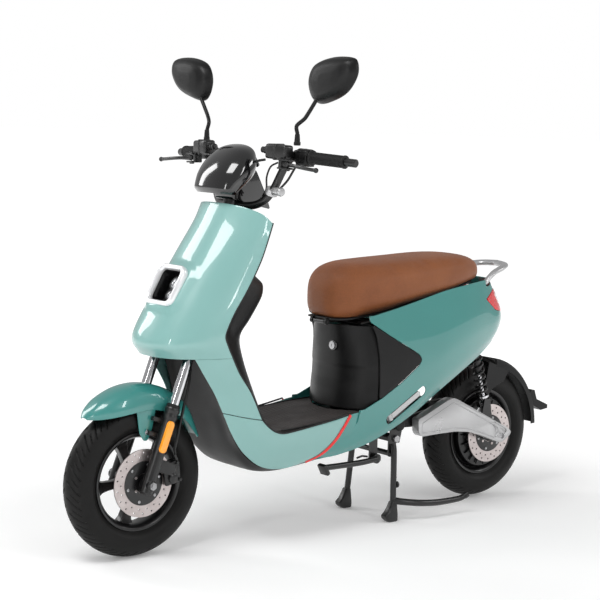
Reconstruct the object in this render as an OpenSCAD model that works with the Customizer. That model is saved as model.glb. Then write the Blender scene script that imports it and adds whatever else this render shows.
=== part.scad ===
// Electric moped scooter on its centre stand.
// +Z is up, -Y is forward, +X is the rider's left. Modules work in vehicle coordinates, whose origin is on the
// ground midway between the axles; place() moves them so that the origin is below the middle of the whole object.

/* [Wheels] */
// Distance between the axles
wheelbase = 1296; // [1290:1:1300]
// Outer radius of both tyres
tyre_r = 208; // [206:1:210]
// Width of both tyres
tyre_w = 90; // [84:2:92]
// Gap between the rear tyre and the ground on the centre stand
rear_lift = 7; // [4:1:10]
// Radius of the front brake disc
front_disc_r = 92; // [88:1:94]
// Radius of the rear brake disc
rear_disc_r = 91; // [86:1:92]

/* [Steering] */
// Angle of the fork from the vertical
rake = 20.5; // [20:0.5:21]
// Distance of the steering axis behind the fork legs
fork_offset = 28; // [26:1:30]
// Half the distance between the fork legs
leg_x = 75; // [74:1:76]
// Radius of a chrome stanchion
stanchion_r = 14; // [13:0.5:15]
// Radius of the handlebar tube
bar_r = 11; // [10.5:0.5:11.5]
// Length of a grip
grip_len = 120; // [110:1:125]

/* [Body] */
// Thickness of the plastic panels
skin = 3; // [2.5:0.5:3.5]
// Height of the middle of the floor mat
floor_z = 330; // [328:1:332]

/* [Stand] */
// Half the distance between the feet of the centre stand
foot_x = 104; // [100:1:108]

/* [Hidden] */
$fn = 48;

front_y = -wheelbase / 2;
front_z = tyre_r;
rear_y = wheelbase / 2;
rear_z = tyre_r + rear_lift;
plate_end_y = 948;
middle_y = (plate_end_y + front_y - tyre_r) / 2;
gap = 0.05;

mint = [0.50, 0.71, 0.69];
teal = [0.25, 0.56, 0.54];
plastic = [0.10, 0.10, 0.10];
silver = [0.80, 0.80, 0.80];
steel = [0.62, 0.62, 0.64];

// ---- points, curves and skins ----

function unit(v) = v / max(norm(v), 1e-9);
function total(v) = v * [for (x = v) 1];
function at(l, i) = i < 0 ? 2 * l[0] - l[1] : i >= len(l) ? 2 * l[len(l) - 1] - l[len(l) - 2] : l[i];

// The direction of a curve at b, between its neighbours a and c, short enough not to overshoot
function slope(a, b, c) = unit(c - a) * min(norm(c - b), norm(b - a));
function between(a, b, c, d, t) =
    let (t2 = t * t, t3 = t * t * t)
    (2 * t3 - 3 * t2 + 1) * b + (t3 - 2 * t2 + t) * slope(a, b, c)
        + (3 * t2 - 2 * t3) * c + (t3 - t2) * slope(b, c, d);

// A smooth curve through the points of l, with n steps between each pair
function smooth(l, n) = [
    for (i = [0 : len(l) - 2], k = [0 : n - 1]) between(at(l, i - 1), l[i], at(l, i + 1), at(l, i + 2), k / n),
    l[len(l) - 1]
];

// A smooth surface through rows of points
function patch(rows, n_rows, n_cols) =
    let (fine = [for (r = rows) smooth(r, n_cols)])
    let (cols = [for (j = [0 : len(fine[0]) - 1]) smooth([for (r = fine) r[j]], n_rows)])
    [for (i = [0 : len(cols[0]) - 1]) [for (c = cols) c[i]]];

// A half row that starts on the middle plane, made whole
function whole(row) = concat(
    [for (j = [len(row) - 1 : -1 : 1]) [-row[j][0], row[j][1], row[j][2]]], row);

function slope_at(g, i, j) = cross(
    g[min(i + 1, len(g) - 1)][j] - g[max(i - 1, 0)][j],
    g[i][min(j + 1, len(g[0]) - 1)] - g[i][max(j - 1, 0)]);

// The direction away from the grid at one of its points, kept in the middle plane near that plane
function normal_at(g, i, j) =
    let (n = slope_at(g, i, j)) unit(abs(g[i][j][0]) < 1 ? [0, n[1], n[2]] : n);

// A closed solid from points and triangles, whichever way round the triangles are
module solid(pts, tris) {
    v = total([for (t = tris) cross(pts[t[0]], pts[t[1]]) * pts[t[2]]]);
    polyhedron(pts, v > 0 ? [for (t = tris) [t[0], t[2], t[1]]] : tris);
}

function quad(a, b, c, d) = [[a, b, c], [a, c, d]];

// A sheet of thickness t that lies on one side of the grid g
module sheet(g, t) {
    m = len(g);
    n = len(g[0]);
    back = m * n;
    pts = concat(
        [for (i = [0 : m - 1], j = [0 : n - 1]) g[i][j]],
        [for (i = [0 : m - 1], j = [0 : n - 1]) g[i][j] - t * normal_at(g, i, j)]);
    tris = [
        for (i = [0 : m - 2], j = [0 : n - 2], q = quad(i * n + j, i * n + j + 1,
            (i + 1) * n + j + 1, (i + 1) * n + j)) q,
        for (i = [0 : m - 2], j = [0 : n - 2], q = quad(back + i * n + j, back + (i + 1) * n + j,
            back + (i + 1) * n + j + 1, back + i * n + j + 1)) q,
        for (i = [0 : m - 2], q = quad(i * n, (i + 1) * n, back + (i + 1) * n, back + i * n)) q,
        for (i = [0 : m - 2], q = quad((i + 1) * n - 1, back + (i + 1) * n - 1,
            back + (i + 2) * n - 1, (i + 2) * n - 1)) q,
        for (j = [0 : n - 2], q = quad(j, back + j, back + j + 1, j + 1)) q,
        for (j = [0 : n - 2], q = quad((m - 1) * n + j, (m - 1) * n + j + 1,
            back + (m - 1) * n + j + 1, back + (m - 1) * n + j)) q
    ];
    solid(pts, tris);
}

// A closed solid through rings of points
module loft(rings) {
    m = len(rings);
    n = len(rings[0]);
    pts = [for (r = rings) each r];
    tris = [
        for (i = [0 : m - 2], j = [0 : n - 1], q = quad(i * n + j, i * n + (j + 1) % n,
            (i + 1) * n + (j + 1) % n, (i + 1) * n + j)) q,
        for (j = [1 : n - 2]) [0, j + 1, j],
        for (j = [1 : n - 2]) [(m - 1) * n, (m - 1) * n + j, (m - 1) * n + j + 1]
    ];
    solid(pts, tris);
}

// A round-cornered ring about c, spanned by the vectors u and v
function ring(c, u, v, n, power) = [
    for (k = [0 : n - 1]) let (a = 360 * k / n)
        c + u * sign(cos(a)) * pow(abs(cos(a)), power) + v * sign(sin(a)) * pow(abs(sin(a)), power)
];

// A tube along the points of path; side must not be parallel to the path anywhere
module hose(path, r, n, side) {
    last = len(path) - 1;
    loft([for (i = [0 : last])
        let (t = unit(path[min(i + 1, last)] - path[max(i - 1, 0)]))
        let (a = unit(cross(t, side)))
        ring(path[i], a * r, cross(t, a) * r, n, 1)]);
}

module rod(a, b, r) {
    d = b - a;
    translate(a)
        rotate([0, acos(d[2] / norm(d)), atan2(d[1], d[0])])
            cylinder(h = norm(d), r = r);
}

module both() {
    children();
    mirror([1, 0, 0]) children();
}

// A cylinder along X between x0 and x1
module across(y, z, x0, x1, r) {
    translate([x0, y, z]) rotate([0, 90, 0]) cylinder(h = x1 - x0, r = r);
}

// A hexagon along X
module hexagon(y, z, x0, x1, r) {
    translate([x0, y, z]) rotate([0, 90, 0]) cylinder(h = x1 - x0, r = r, $fn = 6);
}

// A plate between x0 and x1 whose outline is given as [y, z] points
module plate(x0, x1, outline) {
    translate([x0, 0, 0])
        rotate([90, 0, 90])
            linear_extrude(x1 - x0) polygon(outline);
}

// Fork coordinates: origin on the front axle, +Z up the legs
module on_fork() {
    translate([0, front_y, front_z]) rotate([-rake, 0, 0]) children();
}

module place() {
    translate([0, -middle_y, 0]) children();
}

// ---- body surfaces ----

// Half rows of the front cowl, from its top edge down to the chin: middle, face, corner, side and rear edge
cowl_rows = [
    [[0, -396, 948], [48, -392, 947], [90, -376, 942], [120, -352, 932], [138, -330, 919], [146, -308, 898]],
    [[0, -424, 902], [48, -420, 900], [90, -400, 893], [121, -373, 882], [139, -349, 872], [148, -322, 862]],
    [[0, -472, 829], [48, -468, 828], [89, -448, 824], [120, -415, 816], [139, -384, 807], [149, -348, 798]],
    [[0, -524, 752], [47, -520, 751], [88, -501, 748], [119, -466, 741], [139, -429, 734], [150, -389, 726]],
    [[0, -576, 674], [47, -572, 673], [89, -553, 671], [120, -518, 667], [140, -477, 662], [151, -437, 656]],
    [[0, -612, 612], [47, -608, 612], [90, -588, 611], [121, -551, 609], [141, -505, 607], [151, -462, 604]],
    [[0, -625, 572], [47, -620, 572], [92, -597, 572], [122, -556, 572], [141, -506, 572], [151, -452, 572]],
    [[0, -606, 540], [47, -600, 540], [90, -574, 540], [117, -535, 540], [139, -484, 540], [151, -436, 541]]
];
// Rows of the left arm below the cowl: front edge, middle and rear edge
arm_rows = [
    [[117, -534.5, 539.5], [139, -483.5, 539.5], [151, -435.5, 540.5]],
    [[117, -508, 500], [141, -458, 496], [152, -411, 495]],
    [[120, -470, 442], [143, -420, 440], [153, -371, 440]],
    [[124, -444, 389], [146, -390, 376], [153, -331, 364]]
];
// Rows of the left floor side panel, from the arm back to the stripe: lower edge to upper edge
side_rows = [
    [[124, -443, 387], [146, -389, 374], [153, -330, 362]],
    [[129, -414, 326], [149, -362, 334], [153, -308, 341]],
    [[132, -379, 276], [151, -328, 298], [153, -283, 325]],
    [[134, -330, 236], [152, -290, 273], [153, -254, 318]],
    [[135, -282, 219], [152, -245, 266], [153, -212, 321]],
    [[136, -228, 217], [152, -167, 268], [153, -111, 334]],
    [[136, -165, 228], [151, -76, 279], [151, -19, 350]]
];
// Rows of the left rear panel, from the stripe back round the tail: lower edge to upper edge
rear_rows = [
    [[136, -160, 226], [148, -112, 246], [152, -69, 277], [152, -38, 311], [150, -9, 347]],
    [[137, -95, 230], [148.5, -52, 252], [152.5, -10, 288], [152, 16, 325], [150.5, 43, 365]],
    [[139, -40, 234], [149, 0, 262], [153, 44, 330], [149.5, 54, 480], [137, 16, 606]],
    [[139, 60, 252], [149, 95, 290], [153, 125, 342], [150, 124, 470], [137, 92, 626]],
    [[138, 160, 285], [148, 190, 325], [152, 215, 385], [149, 212, 500], [136, 180, 643]],
    [[133, 260, 328], [144, 285, 370], [149, 305, 430], [146, 308, 530], [133, 280, 664]],
    [[125, 360, 380], [137, 380, 425], [143, 395, 485], [140, 404, 570], [127, 375, 683]],
    [[113, 460, 427], [126, 475, 470], [132, 487, 528], [129, 490, 600], [117, 465, 694]],
    [[98, 555, 471], [110, 566, 512], [115, 573, 562], [112, 569, 620], [101, 545, 701]],
    [[80, 628, 510], [90, 640, 545], [95, 644, 583], [88, 636, 630], [80, 602, 703]],
    [[46, 668, 530], [52, 683, 556], [54, 688, 588], [51, 673, 632], [46, 628, 704]],
    [[0.4, 680, 536], [0.4, 697, 562], [0.4, 702, 590], [0.4, 685, 634], [0.4, 636, 704]]
];
// Half rows of the black inner leg shield with its glove box, from the top down to the floor
inner_rows = [
    [[0, -300, 908], [50, -302, 906], [95, -305, 902], [125, -307, 896], [141, -309, 891]],
    [[0, -300, 860], [50, -304, 860], [95, -312, 860], [125, -318, 860], [143, -323, 860]],
    [[0, -318, 775], [50, -322, 775], [95, -338, 775], [125, -352, 775], [144, -361, 775]],
    [[0, -268, 728], [50, -270, 728], [88, -292, 728], [122, -366, 733], [145, -385, 733]],
    [[0, -262, 690], [50, -265, 690], [86, -298, 690], [122, -384, 694], [146, -411, 696]],
    [[0, -300, 628], [50, -306, 628], [88, -340, 628], [124, -424, 628], [146, -451, 628]],
    [[0, -330, 585], [50, -338, 585], [92, -372, 585], [126, -424, 585], [146, -456, 585]],
    [[0, -322, 530], [50, -330, 530], [94, -360, 530], [127, -400, 530], [146, -430, 530]],
    [[0, -300, 450], [50, -306, 450], [95, -326, 450], [128, -356, 450], [147, -378, 450]],
    [[0, -278, 385], [50, -282, 385], [96, -298, 385], [129, -322, 385], [148, -341, 385]],
    [[0, -262, 345], [50, -265, 345], [96, -280, 345], [129, -296, 345], [148, -311, 345]]
];
// Half rows of the liner behind the front wheel, which goes on as the belly pan: middle to side edge
belly_rows = [
    [[0, -446, 533], [45, -450, 533], [85, -460, 533], [112, -478, 531]],
    [[0, -428, 455], [45, -431, 455], [85, -439, 455], [114, -454, 455]],
    [[0, -414, 380], [45, -416, 380], [85, -420, 380], [118, -430, 380]],
    [[0, -396, 310], [45, -397, 309], [90, -398, 309], [124, -404, 312]],
    [[0, -368, 250], [48, -368, 250], [95, -367, 252], [128, -366, 262]],
    [[0, -318, 210], [50, -318, 210], [98, -317, 213], [130, -314, 228]],
    [[0, -235, 200], [50, -235, 200], [100, -235, 204], [131, -234, 217]],
    [[0, -110, 212], [50, -110, 212], [100, -110, 216], [132, -110, 230]],
    [[0, 60, 236], [50, 60, 236], [100, 60, 240], [132, 60, 252]]
];
// Outline of the side cover in [y, z]
cover_outline = [
    [72, 600], [90, 560], [98, 500], [98, 420], [97, 386], [107, 387], [183, 427], [256, 475],
    [264, 486], [254, 501], [137, 564]
];
// Outline of the rear panel in [y, z], with room for the tail light and the grab rail
panel_outline = [
    [-180, 200], [760, 200], [760, 602], [652, 602], [618, 608], [566, 646], [620, 673], [760, 673],
    [760, 720], [618, 720], [618, 688], [576, 680], [576, 720], [60, 720], [66, 608], [138, 566],
    [256, 503], [267, 486], [258, 472], [185, 424], [108, 384], [44, 373], [-180, 373]
];
// Outline of the tail light in [y, z]
lamp_outline = [[566, 646], [620, 673], [760, 673], [760, 602], [652, 602], [618, 608]];

rear_skin = patch(rear_rows, 2, 3);

module front_cowl() {
    color(mint)
    difference() {
        sheet(patch([for (r = cowl_rows) whole(r)], 2, 2), skin);
        headlight_frame() translate([-60, -60, -40]) cube([120, 120, 80]);
    }
    color(mint)
        both() sheet(patch(arm_rows, 3, 3), skin);
}

module floor_side_panels() {
    color(mint) both() sheet(patch(side_rows, 2, 3), skin);
}

// The rear panels, trimmed from the skin; resize() without a size keeps each a plain mesh
module rear_panels() {
    color(teal)
    resize([0, 0, 0])
    both()
        intersection() {
            sheet(rear_skin, skin);
            difference() {
                plate(-5, 200, panel_outline);
                footpeg_slot();
            }
        }
}

module side_covers() {
    color(plastic)
    both()
        intersection() {
            sheet(rear_skin, skin);
            plate(60, 200, cover_outline);
        }
}

module tail_light() {
    lens = [for (p = lamp_outline) [p[0] + (p[0] < 600 ? 3 : 0), p[1] + (p[1] > 640 ? -1 : 1)]];
    color("red")
    intersection() {
        both() sheet(rear_skin, skin + 2);
        plate(-200, 200, lens);
    }
}

module headlight_frame() {
    tilt = 28.6;
    translate([0, -551, 728]) rotate([90 - tilt, 0, 0]) children();
}

// A square with round corners, extruded
module rounded(w, h, r, z0, z1) {
    translate([0, 0, z0])
        linear_extrude(z1 - z0)
            union() {
                square([w - 2 * r, h], center = true);
                square([w, h - 2 * r], center = true);
                for (sx = [-1, 1], sy = [-1, 1])
                    translate([sx * (w / 2 - r), sy * (h / 2 - r)]) circle(r);
            }
}

module headlight_bezel() {
    color(silver)
    headlight_frame()
        difference() {
            rounded(118, 118, 22, -14, 0);
            rounded(94, 94, 14, -20, 1);
        }
}

module headlight_housing() {
    color(plastic)
    headlight_frame()
        difference() {
            rounded(92, 92, 13, -52, -5);
            rounded(86, 86, 11, -46, 0);
        }
}

module headlight_lenses() {
    color([0.8, 0.85, 0.9, 0.6])
    headlight_frame()
        for (y = [20, -20]) {
            translate([0, y, -46]) cylinder(h = 26, r = 18);
            translate([0, y, -20]) cylinder(h = 6, r1 = 16, r2 = 8);
        }
}

module inner_leg_shield() {
    color(plastic) sheet(patch([for (r = inner_rows) whole(r)], 2, 2), -skin);
}

module belly_pan() {
    color(plastic) sheet(patch([for (r = belly_rows) whole(r)], 2, 2), skin);
}

module floor_mat() {
    half = [0, 60, 110, 141];
    // Height above floor_z, and how far the ends curve forward or back towards the sides
    rows = [for (s = [[-256, -6, -1 / 700], [-180, -3, 0], [-100, 3, 0], [-30, 10, 0.001], [10, 14, 0.0044]])
        whole([for (x = half) [x, s[0] + s[2] * x * x, floor_z + s[1] + x * x / 9000]])];
    color([0.25, 0.25, 0.26]) sheet(patch(rows, 3, 1), -8);
}

// Rows of the panel under the seat: [height, y of the middle, y of the edge, half width]
under_rows = [[592, 16, 100, 131], [560, 20, 100, 135], [500, 27, 99, 142], [430, 27, 98, 145],
    [350, 23, 97, 146]];

module under_seat_panel() {
    across_x = [0, 0.36, 0.68, 0.88, 1];
    back = [0, 0.08, 0.36, 0.66, 1];
    rows = [for (s = under_rows) whole([for (k = [0 : 4])
        [across_x[k] * s[3], s[1] + back[k] * (s[2] - s[1]), s[0]]])];
    color(plastic)
    difference() {
        sheet(patch(rows, 3, 2), skin);
        translate([lock_x, 80, lock_z]) rotate([90, 0, 0]) cylinder(h = 90, r = 12);
    }
}

lock_x = 26;
lock_z = 530;

module seat_lock() {
    color(steel)
    translate([lock_x, 47, lock_z])
        rotate([90, 0, 0])
            difference() {
                union() {
                    cylinder(h = 28, r = 9);
                    translate([0, 0, 24]) cylinder(h = 4, r = 11.5);
                }
                translate([-1, -4, 22]) cube([2, 8, 10]);
            }
}

module grab_rail() {
    path = smooth([[72, 520, 668], [74, 552, 677], [77, 588, 691], [79, 606, 708], [80, 626, 723],
        [75, 662, 734], [50, 700, 740], [0, 716, 743], [-50, 700, 740], [-75, 662, 734],
        [-80, 626, 723], [-79, 606, 708], [-77, 588, 691], [-74, 552, 677], [-72, 520, 668]], 2);
    color(silver) hose(path, 8.5, 12, [0, 0, 1]);
}

// ---- frame and what it carries ----

head_low = [0, front_y + fork_offset / cos(rake) + 405 * tan(rake), front_z + 405];
function on_axis(z) = [0, front_y + fork_offset / cos(rake) + (z - front_z) * tan(rake), z];
pivot_y = 225;
pivot_z = 288;
stand_y = 220;
stand_z = 246;
hinge_y = -8;
hinge_z = 600;
side_pivot = [118, 128, 200];

module main_frame() {
    color(plastic)
    difference() {
        union() {
            rod(on_axis(622), on_axis(760), 24);
            rod([0, -436, 642], [0, -303, 262], 20);
            across(-300, 262, -76, 76, 15);
            both() {
                rod([70, -300, 262], [70, 138, 262], 13);
                rod([69.5, 112, 258], [83.5, 184, 360], 12);
                rod([84, 174, 346], [84, 334, 565], 11);
                rod([84, 72, 592], [84, 336, 625], 10);
                rod([84.5, 322, 622], [70, 570, 654], 9);
                rod([70.5, 126, 258], [83.5, 88, 596], 8.5);
                plate(88, 94.5, [[178, 352], [206, 392], [230, 392], [258, 330], [246, 268], [238, 232],
                    [202, 232], [202, 268]]);
                plate(57, 63, [[538, 494], [568, 494], [572, 649], [546, 649]]);
                across(shock_top[0], shock_top[1], 60, 84, 7);
            }
            across(120, 600, -82, 82, 7);
            across(560, 652, -68, 68, 7);
            across(84, 594, -82, 82, 7.5);
            translate([-22, hinge_y, hinge_z - 3.5]) cube([44, 92, 5]);
            across(hinge_y, hinge_z, -24, 24, 6);
            across(hinge_y, hinge_z, -36, 36, 3);
            translate([72, 117, 250]) cube([28, 22, 13]);
            plate(97, 103, [[114, 264], [142, 264], [143, 189], [113, 189]]);
            across(side_pivot[1], side_pivot[2], 98, 124, 5);
        }
        rod(on_axis(600), on_axis(800), 17);
        across(pivot_y, pivot_z, -120, 120, 8 + gap);
        across(stand_y, stand_z, -120, 120, 7 + gap);
    }
}

module pivot_bolt() {
    color(steel) {
        across(pivot_y, pivot_z, -108, 108, 8);
        hexagon(pivot_y, pivot_z, 96.3, 106, 14);
        hexagon(pivot_y, pivot_z, -106, -96.3, 14);
        across(stand_y, stand_z, -104, 104, 7);
        hexagon(stand_y, stand_z, 96.3, 104, 11);
        hexagon(stand_y, stand_z, -104, -96.3, 11);
    }
}

module battery() {
    color([0.2, 0.22, 0.25])
    translate([-57, 96, 316])
        difference() {
            cube([114, 150, 262]);
            translate([20, 30, 242]) cube([74, 14, 30]);
            translate([20, 106, 242]) cube([74, 14, 30]);
        }
}

// ---- steering ----

module steering_stem() {
    color(plastic)
    difference() {
        union() {
            rod(on_axis(572), on_axis(880), 15);
            on_fork() translate([-97, -22, 398]) cube([194, 68, 18]);
        }
        on_fork() for (s = [-1, 1]) translate([s * leg_x, 0, 380]) cylinder(h = 60, r = stanchion_r + gap);
    }
}

module fork_stanchions() {
    color(steel)
    on_fork()
        for (s = [-1, 1]) translate([s * leg_x, 0, 90]) cylinder(h = 340, r = stanchion_r);
}

bar_y = -259;
bar_z = 1079;
bar_start = 225;

// Handlebar coordinates of one side: origin on the tube where the straight end starts, +Z outwards,
// +X down and +Y back
module on_bar(side) {
    mirror([side < 0 ? 1 : 0, 0, 0])
        translate([bar_start, bar_y, bar_z]) rotate([0, 0, 9]) rotate([0, 93, 0]) children();
}

bar_path = [[0, -330, 944], [45, -326, 940], [82, -316, 945], [110, -305, 962], [130, -294, 992],
    [145, -284, 1030], [160, -274.5, 1064], [180.1, -266, 1081.5]];
bar_curve = smooth(concat([for (i = [len(bar_path) - 1 : -1 : 1])
    [-bar_path[i][0], bar_path[i][1], bar_path[i][2]]], bar_path), 2);

module handlebar() {
    color(plastic) {
        hose(bar_curve, bar_r, 16, [0, 1, 0.35]);
        for (s = [-1, 1]) on_bar(s) translate([0, 0, -48]) cylinder(h = grip_len + 58, r = bar_r);
        difference() {
            rod(on_axis(884), on_axis(960), 20);
            rod(on_axis(870), on_axis(930), 15 + gap);
        }
    }
}

module left_grip() {
    color(plastic)
    on_bar(1)
        difference() {
            union() {
                translate([0, 0, 20]) cylinder(h = grip_len - 6, r = 16.5);
                translate([0, 0, 14]) cylinder(h = 6, r = 20);
                translate([0, 0, grip_len + 8]) cylinder(h = 6, r = 18);
            }
            translate([0, 0, -10]) cylinder(h = grip_len + 20.1, r = bar_r + gap);
            cylinder(h = grip_len + 30, r = 4);
        }
}

module throttle_grip() {
    color(plastic)
    on_bar(-1)
        difference() {
            union() {
                translate([0, 0, 20]) cylinder(h = grip_len - 6, r = 16.5);
                translate([0, 0, 14]) cylinder(h = 6, r = 20);
                translate([0, 0, grip_len + 11]) cylinder(h = 4, r = 18);
                translate([0, 0, grip_len]) cylinder(h = 12, r = 16.5);
            }
            translate([0, 0, -10]) cylinder(h = grip_len + 21, r = bar_r + gap);
        }
}

module switch_box(side) {
    on_bar(side)
        difference() {
            union() {
                translate([-21, -20, -29]) cube([44, 42, 42]);
                translate([0, 0, -29]) cylinder(h = 42, r = 22);
            }
            translate([0, 0, -60]) cylinder(h = 90, r = bar_r + gap);
            translate([-4, 11.6, -8]) rotate([-90, 0, 0]) cylinder(h = 30, r = 6.4);
        }
}

module switch_housings() {
    color(plastic) {
        switch_box(1);
        switch_box(-1);
    }
}

module push_button(side) {
    on_bar(side) translate([-4, 15, -8]) rotate([-90, 0, 0]) cylinder(h = 11, r = 6);
}

module horn_button() {
    color("orange") push_button(1);
}

module power_button() {
    color("red") push_button(-1);
}

// Where a brake lever turns, in handlebar coordinates
lever_pivot = [20, -58, -17];

module master_cylinder() {
    difference() {
        union() {
            translate([-28, -60, -102]) cube([38, 36, 72]);
            translate([-10, -42, -116]) cylinder(h = 20, r = 10);
            translate([0, 0, -42]) cylinder(h = 12, r = 17);
            translate([-12, -30, -42]) cube([22, 20, 12]);
            translate([6, -72, -44]) cube([28, 34, 38]);
            translate([-28, -24, -42]) cube([5, 22, 32]);
            translate([-28, -22, -42]) cube([18, 14, 12]);
        }
        translate([0, 0, -70]) cylinder(h = 50, r = bar_r + gap);
        translate([13, -90, -31]) cube([14, 46, 40]);
    }
    translate([lever_pivot[0] - 10, lever_pivot[1], lever_pivot[2]])
        rotate([0, 90, 0]) cylinder(h = 20, r = 3);
}

module brake_master_cylinders() {
    color(plastic) for (s = [-1, 1]) on_bar(s) master_cylinder();
}

module brake_lever(side) {
    color(plastic)
    on_bar(side)
        difference() {
            union() {
                translate(lever_pivot - [6, 0, 0]) rotate([0, 90, 0]) cylinder(h = 12, r = 8.5);
                hull() {
                    translate([15, -66, -17]) cube([10, 12, 6]);
                    translate([16, -84, 30]) cube([9, 9, 4]);
                }
                hull() {
                    translate([16, -84, 30]) cube([9, 9, 4]);
                    translate([19, -96, 106]) cube([8, 8, 6]);
                }
                translate([23, -92, 112]) sphere(r = 7, $fn = 32);
            }
            translate(lever_pivot - [10, 0, 0]) rotate([0, 90, 0]) cylinder(h = 24, r = 3 + gap);
        }
}

module brake_lever_left() { brake_lever(1); }
module brake_lever_right() { brake_lever(-1); }

module bar_hook() {
    color(silver)
    difference() {
        union() {
            translate([125, -297, 983]) rotate([0, 28, 0]) cylinder(h = 18, r = 17, center = true);
            translate([136, -300, 984]) rotate([0, 90, 0]) cylinder(h = 36, r = 11);
        }
        hose([for (p = bar_curve) if (p[0] > 90) p], bar_r + 0.4, 16, [0, 1, 0.35]);
    }
}

// The pod's rings run from its open lower rim over the dome to the display's edge
module instrument_pod() {
    rings = [for (s = [
            [[0, -388, 972], 76, 34, -4], [[0, -388, 984], 84, 42, -10], [[0, -376, 1018], 92, 54, -22],
            [[0, -356, 1050], 92, 54, -36], [[0, -336, 1072], 82, 46, -52], [[0, -316, 1086], 64, 28, -70]])
        ring(s[0], [s[1], 0, 0], [0, s[2] * cos(s[3]), s[2] * sin(s[3])], 28, 0.85)];
    color([0.05, 0.05, 0.05])
    difference() {
        union() {
            loft(rings);
            plate(-38, 38, [[-368, 960], [-370, 1000], [-300, 1050], [-280, 1036], [-247, 972], [-229, 926]]);
        }
        hose([for (p = bar_curve) if (abs(p[0]) < 70) p], bar_r + 1, 16, [0, 1, 0.35]);
        rod(on_axis(860), on_axis(962), 21.5);
    }
}

module instrument_display() {
    color([0.1, 0.12, 0.14])
        translate([0, -293, 1062]) rotate([-58, 0, 0]) rounded(96, 40, 8, 0, 5);
}

// ---- mirrors ----

mirror_outline = [[-62, -60], [-92, -10], [-70, 40], [0, 60], [80, 56], [92, 18], [60, -26], [5, -52]];
mirror_c = [313, -254, 1284];
mirror_base = [203, -278, 1109.5];

function mirror_ring(k, y) = [for (p = smooth(concat(mirror_outline, [mirror_outline[0]]), 4))
    if (p != mirror_outline[0] || true) mirror_c + [p[0] * k, y, p[1] * k]];
function open_ring(l) = [for (i = [0 : len(l) - 2]) l[i]];

module mirror_body() {
    color(plastic) {
        loft([for (s = [[0.25, -30], [0.6, -27], [0.86, -17], [0.97, -4], [1, 6]])
            open_ring(mirror_ring(s[0], s[1]))]);
        hose(smooth([mirror_base + [0, 0, 26], mirror_base + [-7, 2, 56], [220, -266, 1184],
            [262, -262, 1236]], 3), 5.5, 10, [0, 1, 0]);
        translate(mirror_base) cylinder(h = 30, r1 = 9, r2 = 7);
    }
}

module mirror_glass() {
    color([0.8, 0.85, 0.9])
        loft([for (y = [6.5, 9]) open_ring(mirror_ring(0.94, y))]);
}

module mirror_left() { mirror_body(); }
module mirror_right() { mirror([1, 0, 0]) mirror_body(); }
module mirror_glass_left() { mirror_glass(); }
module mirror_glass_right() { mirror([1, 0, 0]) mirror_glass(); }

// ---- fork and front wheel ----

module fork_lowers() {
    color(plastic)
    on_fork()
        for (s = [-1, 1])
            difference() {
                union() {
                    translate([s * leg_x, 0, -24]) cylinder(h = 238, r = 18);
                    translate([s * leg_x, 0, 196]) cylinder(h = 18, r = 20);
                    for (z = [164, 124])
                        translate([s > 0 ? 53.5 : -70, -44, z]) cube([16.5, 40, 14]);
                    if (s > 0) translate([66, 8, 40]) cube([8, 62, 34]);
                }
                translate([s * leg_x, 0, 26]) cylinder(h = 260, r = stanchion_r + gap);
                translate([s * leg_x - 40, 0, 0]) rotate([0, 90, 0]) cylinder(h = 80, r = 6 + gap);
            }
}

module front_brake_hose() {
    path = [[56, -505, 506], [60, -512, 470], [66, -528, 420], [70, -543, 370], [68, -552, 325],
        [60, -554, 292], [54, -548, 276]];
    color(plastic) hose(smooth(path, 3), 4, 8, [1, 0, 0.2]);
}

module front_axle() {
    color(steel) {
        across(front_y, front_z, -104, 104, 6);
        hexagon(front_y, front_z, 93.3, 101, 11);
        hexagon(front_y, front_z, -101, -93.3, 11);
    }
}

// Fender rows by angle about the axle: [angle, crown radius, half width, skirt radius]
fender_rows = [[131, 243, 14, 236], [126, 249, 36, 222], [117, 255, 53, 207], [104, 260, 60, 197],
    [92, 263, 57, 195], [80, 262, 54, 197], [66, 258, 53, 200], [50, 249, 50, 208], [28, 228, 30, 216]];
function fender_row(s) = whole([for (p = [[0, 1], [0.5, 0.94], [0.84, 0.68], [0.98, 0.32], [1, 0]])
    let (r = s[3] + (s[1] - s[3]) * p[1])
    [p[0] * s[2], front_y + r * cos(s[0]), front_z + r * sin(s[0])]]);

module front_fender() {
    color(teal) {
        sheet(patch([for (s = fender_rows) fender_row(s)], 2, 2), -skin);
        both()
            difference() {
                plate(50.5, 53.4, [[-680, 412], [-672, 398], [-664, 345], [-650, 322], [-638, 322],
                    [-624, 352], [-612, 412]]);
                on_fork() for (z = [171, 131]) translate([50, -36 - (171 - z) / 8, z])
                    rotate([0, 90, 0]) cylinder(h = 30, r = 3.2);
            }
    }
}

module front_caliper() {
    color(plastic)
    translate([0, front_y, front_z])
        rotate([12, 0, 0])
            difference() {
                union() {
                    translate([36, 58, -30]) cube([29.9, 52, 64]);
                    translate([30, 84, 2]) rotate([0, 90, 0]) cylinder(h = 20, r = 13);
                }
                translate([46.5, 20, -60]) cube([9, 76, 120]);
            }
}

tyre_half = tyre_w / 2;
bead_r = 134;
// The tyre's outer curve and inner curve, as [radius, offset] points from bead to bead
tyre_outer = smooth([[bead_r, -30], [150, -tyre_half + 2], [168, -tyre_half], [190, -tyre_half + 8],
    [203, -20], [tyre_r, 0], [203, 20], [190, tyre_half - 8], [168, tyre_half],
    [150, tyre_half - 2], [bead_r, 30]], 3);
tyre_inner = smooth([[bead_r, 24], [150, 34], [168, 36], [186, 28], [197, 0], [186, -28], [168, -36],
    [150, -34], [bead_r, -24]], 3);

module tyre() {
    rotate([0, 90, 0]) rotate_extrude() polygon(concat(tyre_outer, tyre_inner));
}

module rim_barrel() {
    rotate([0, 90, 0])
        rotate_extrude()
            polygon([[120, -30], [128, -33], [133.5, -33], [133.5, 33], [128, 33], [120, 30], [116, 10],
                [116, -10]]);
}

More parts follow.
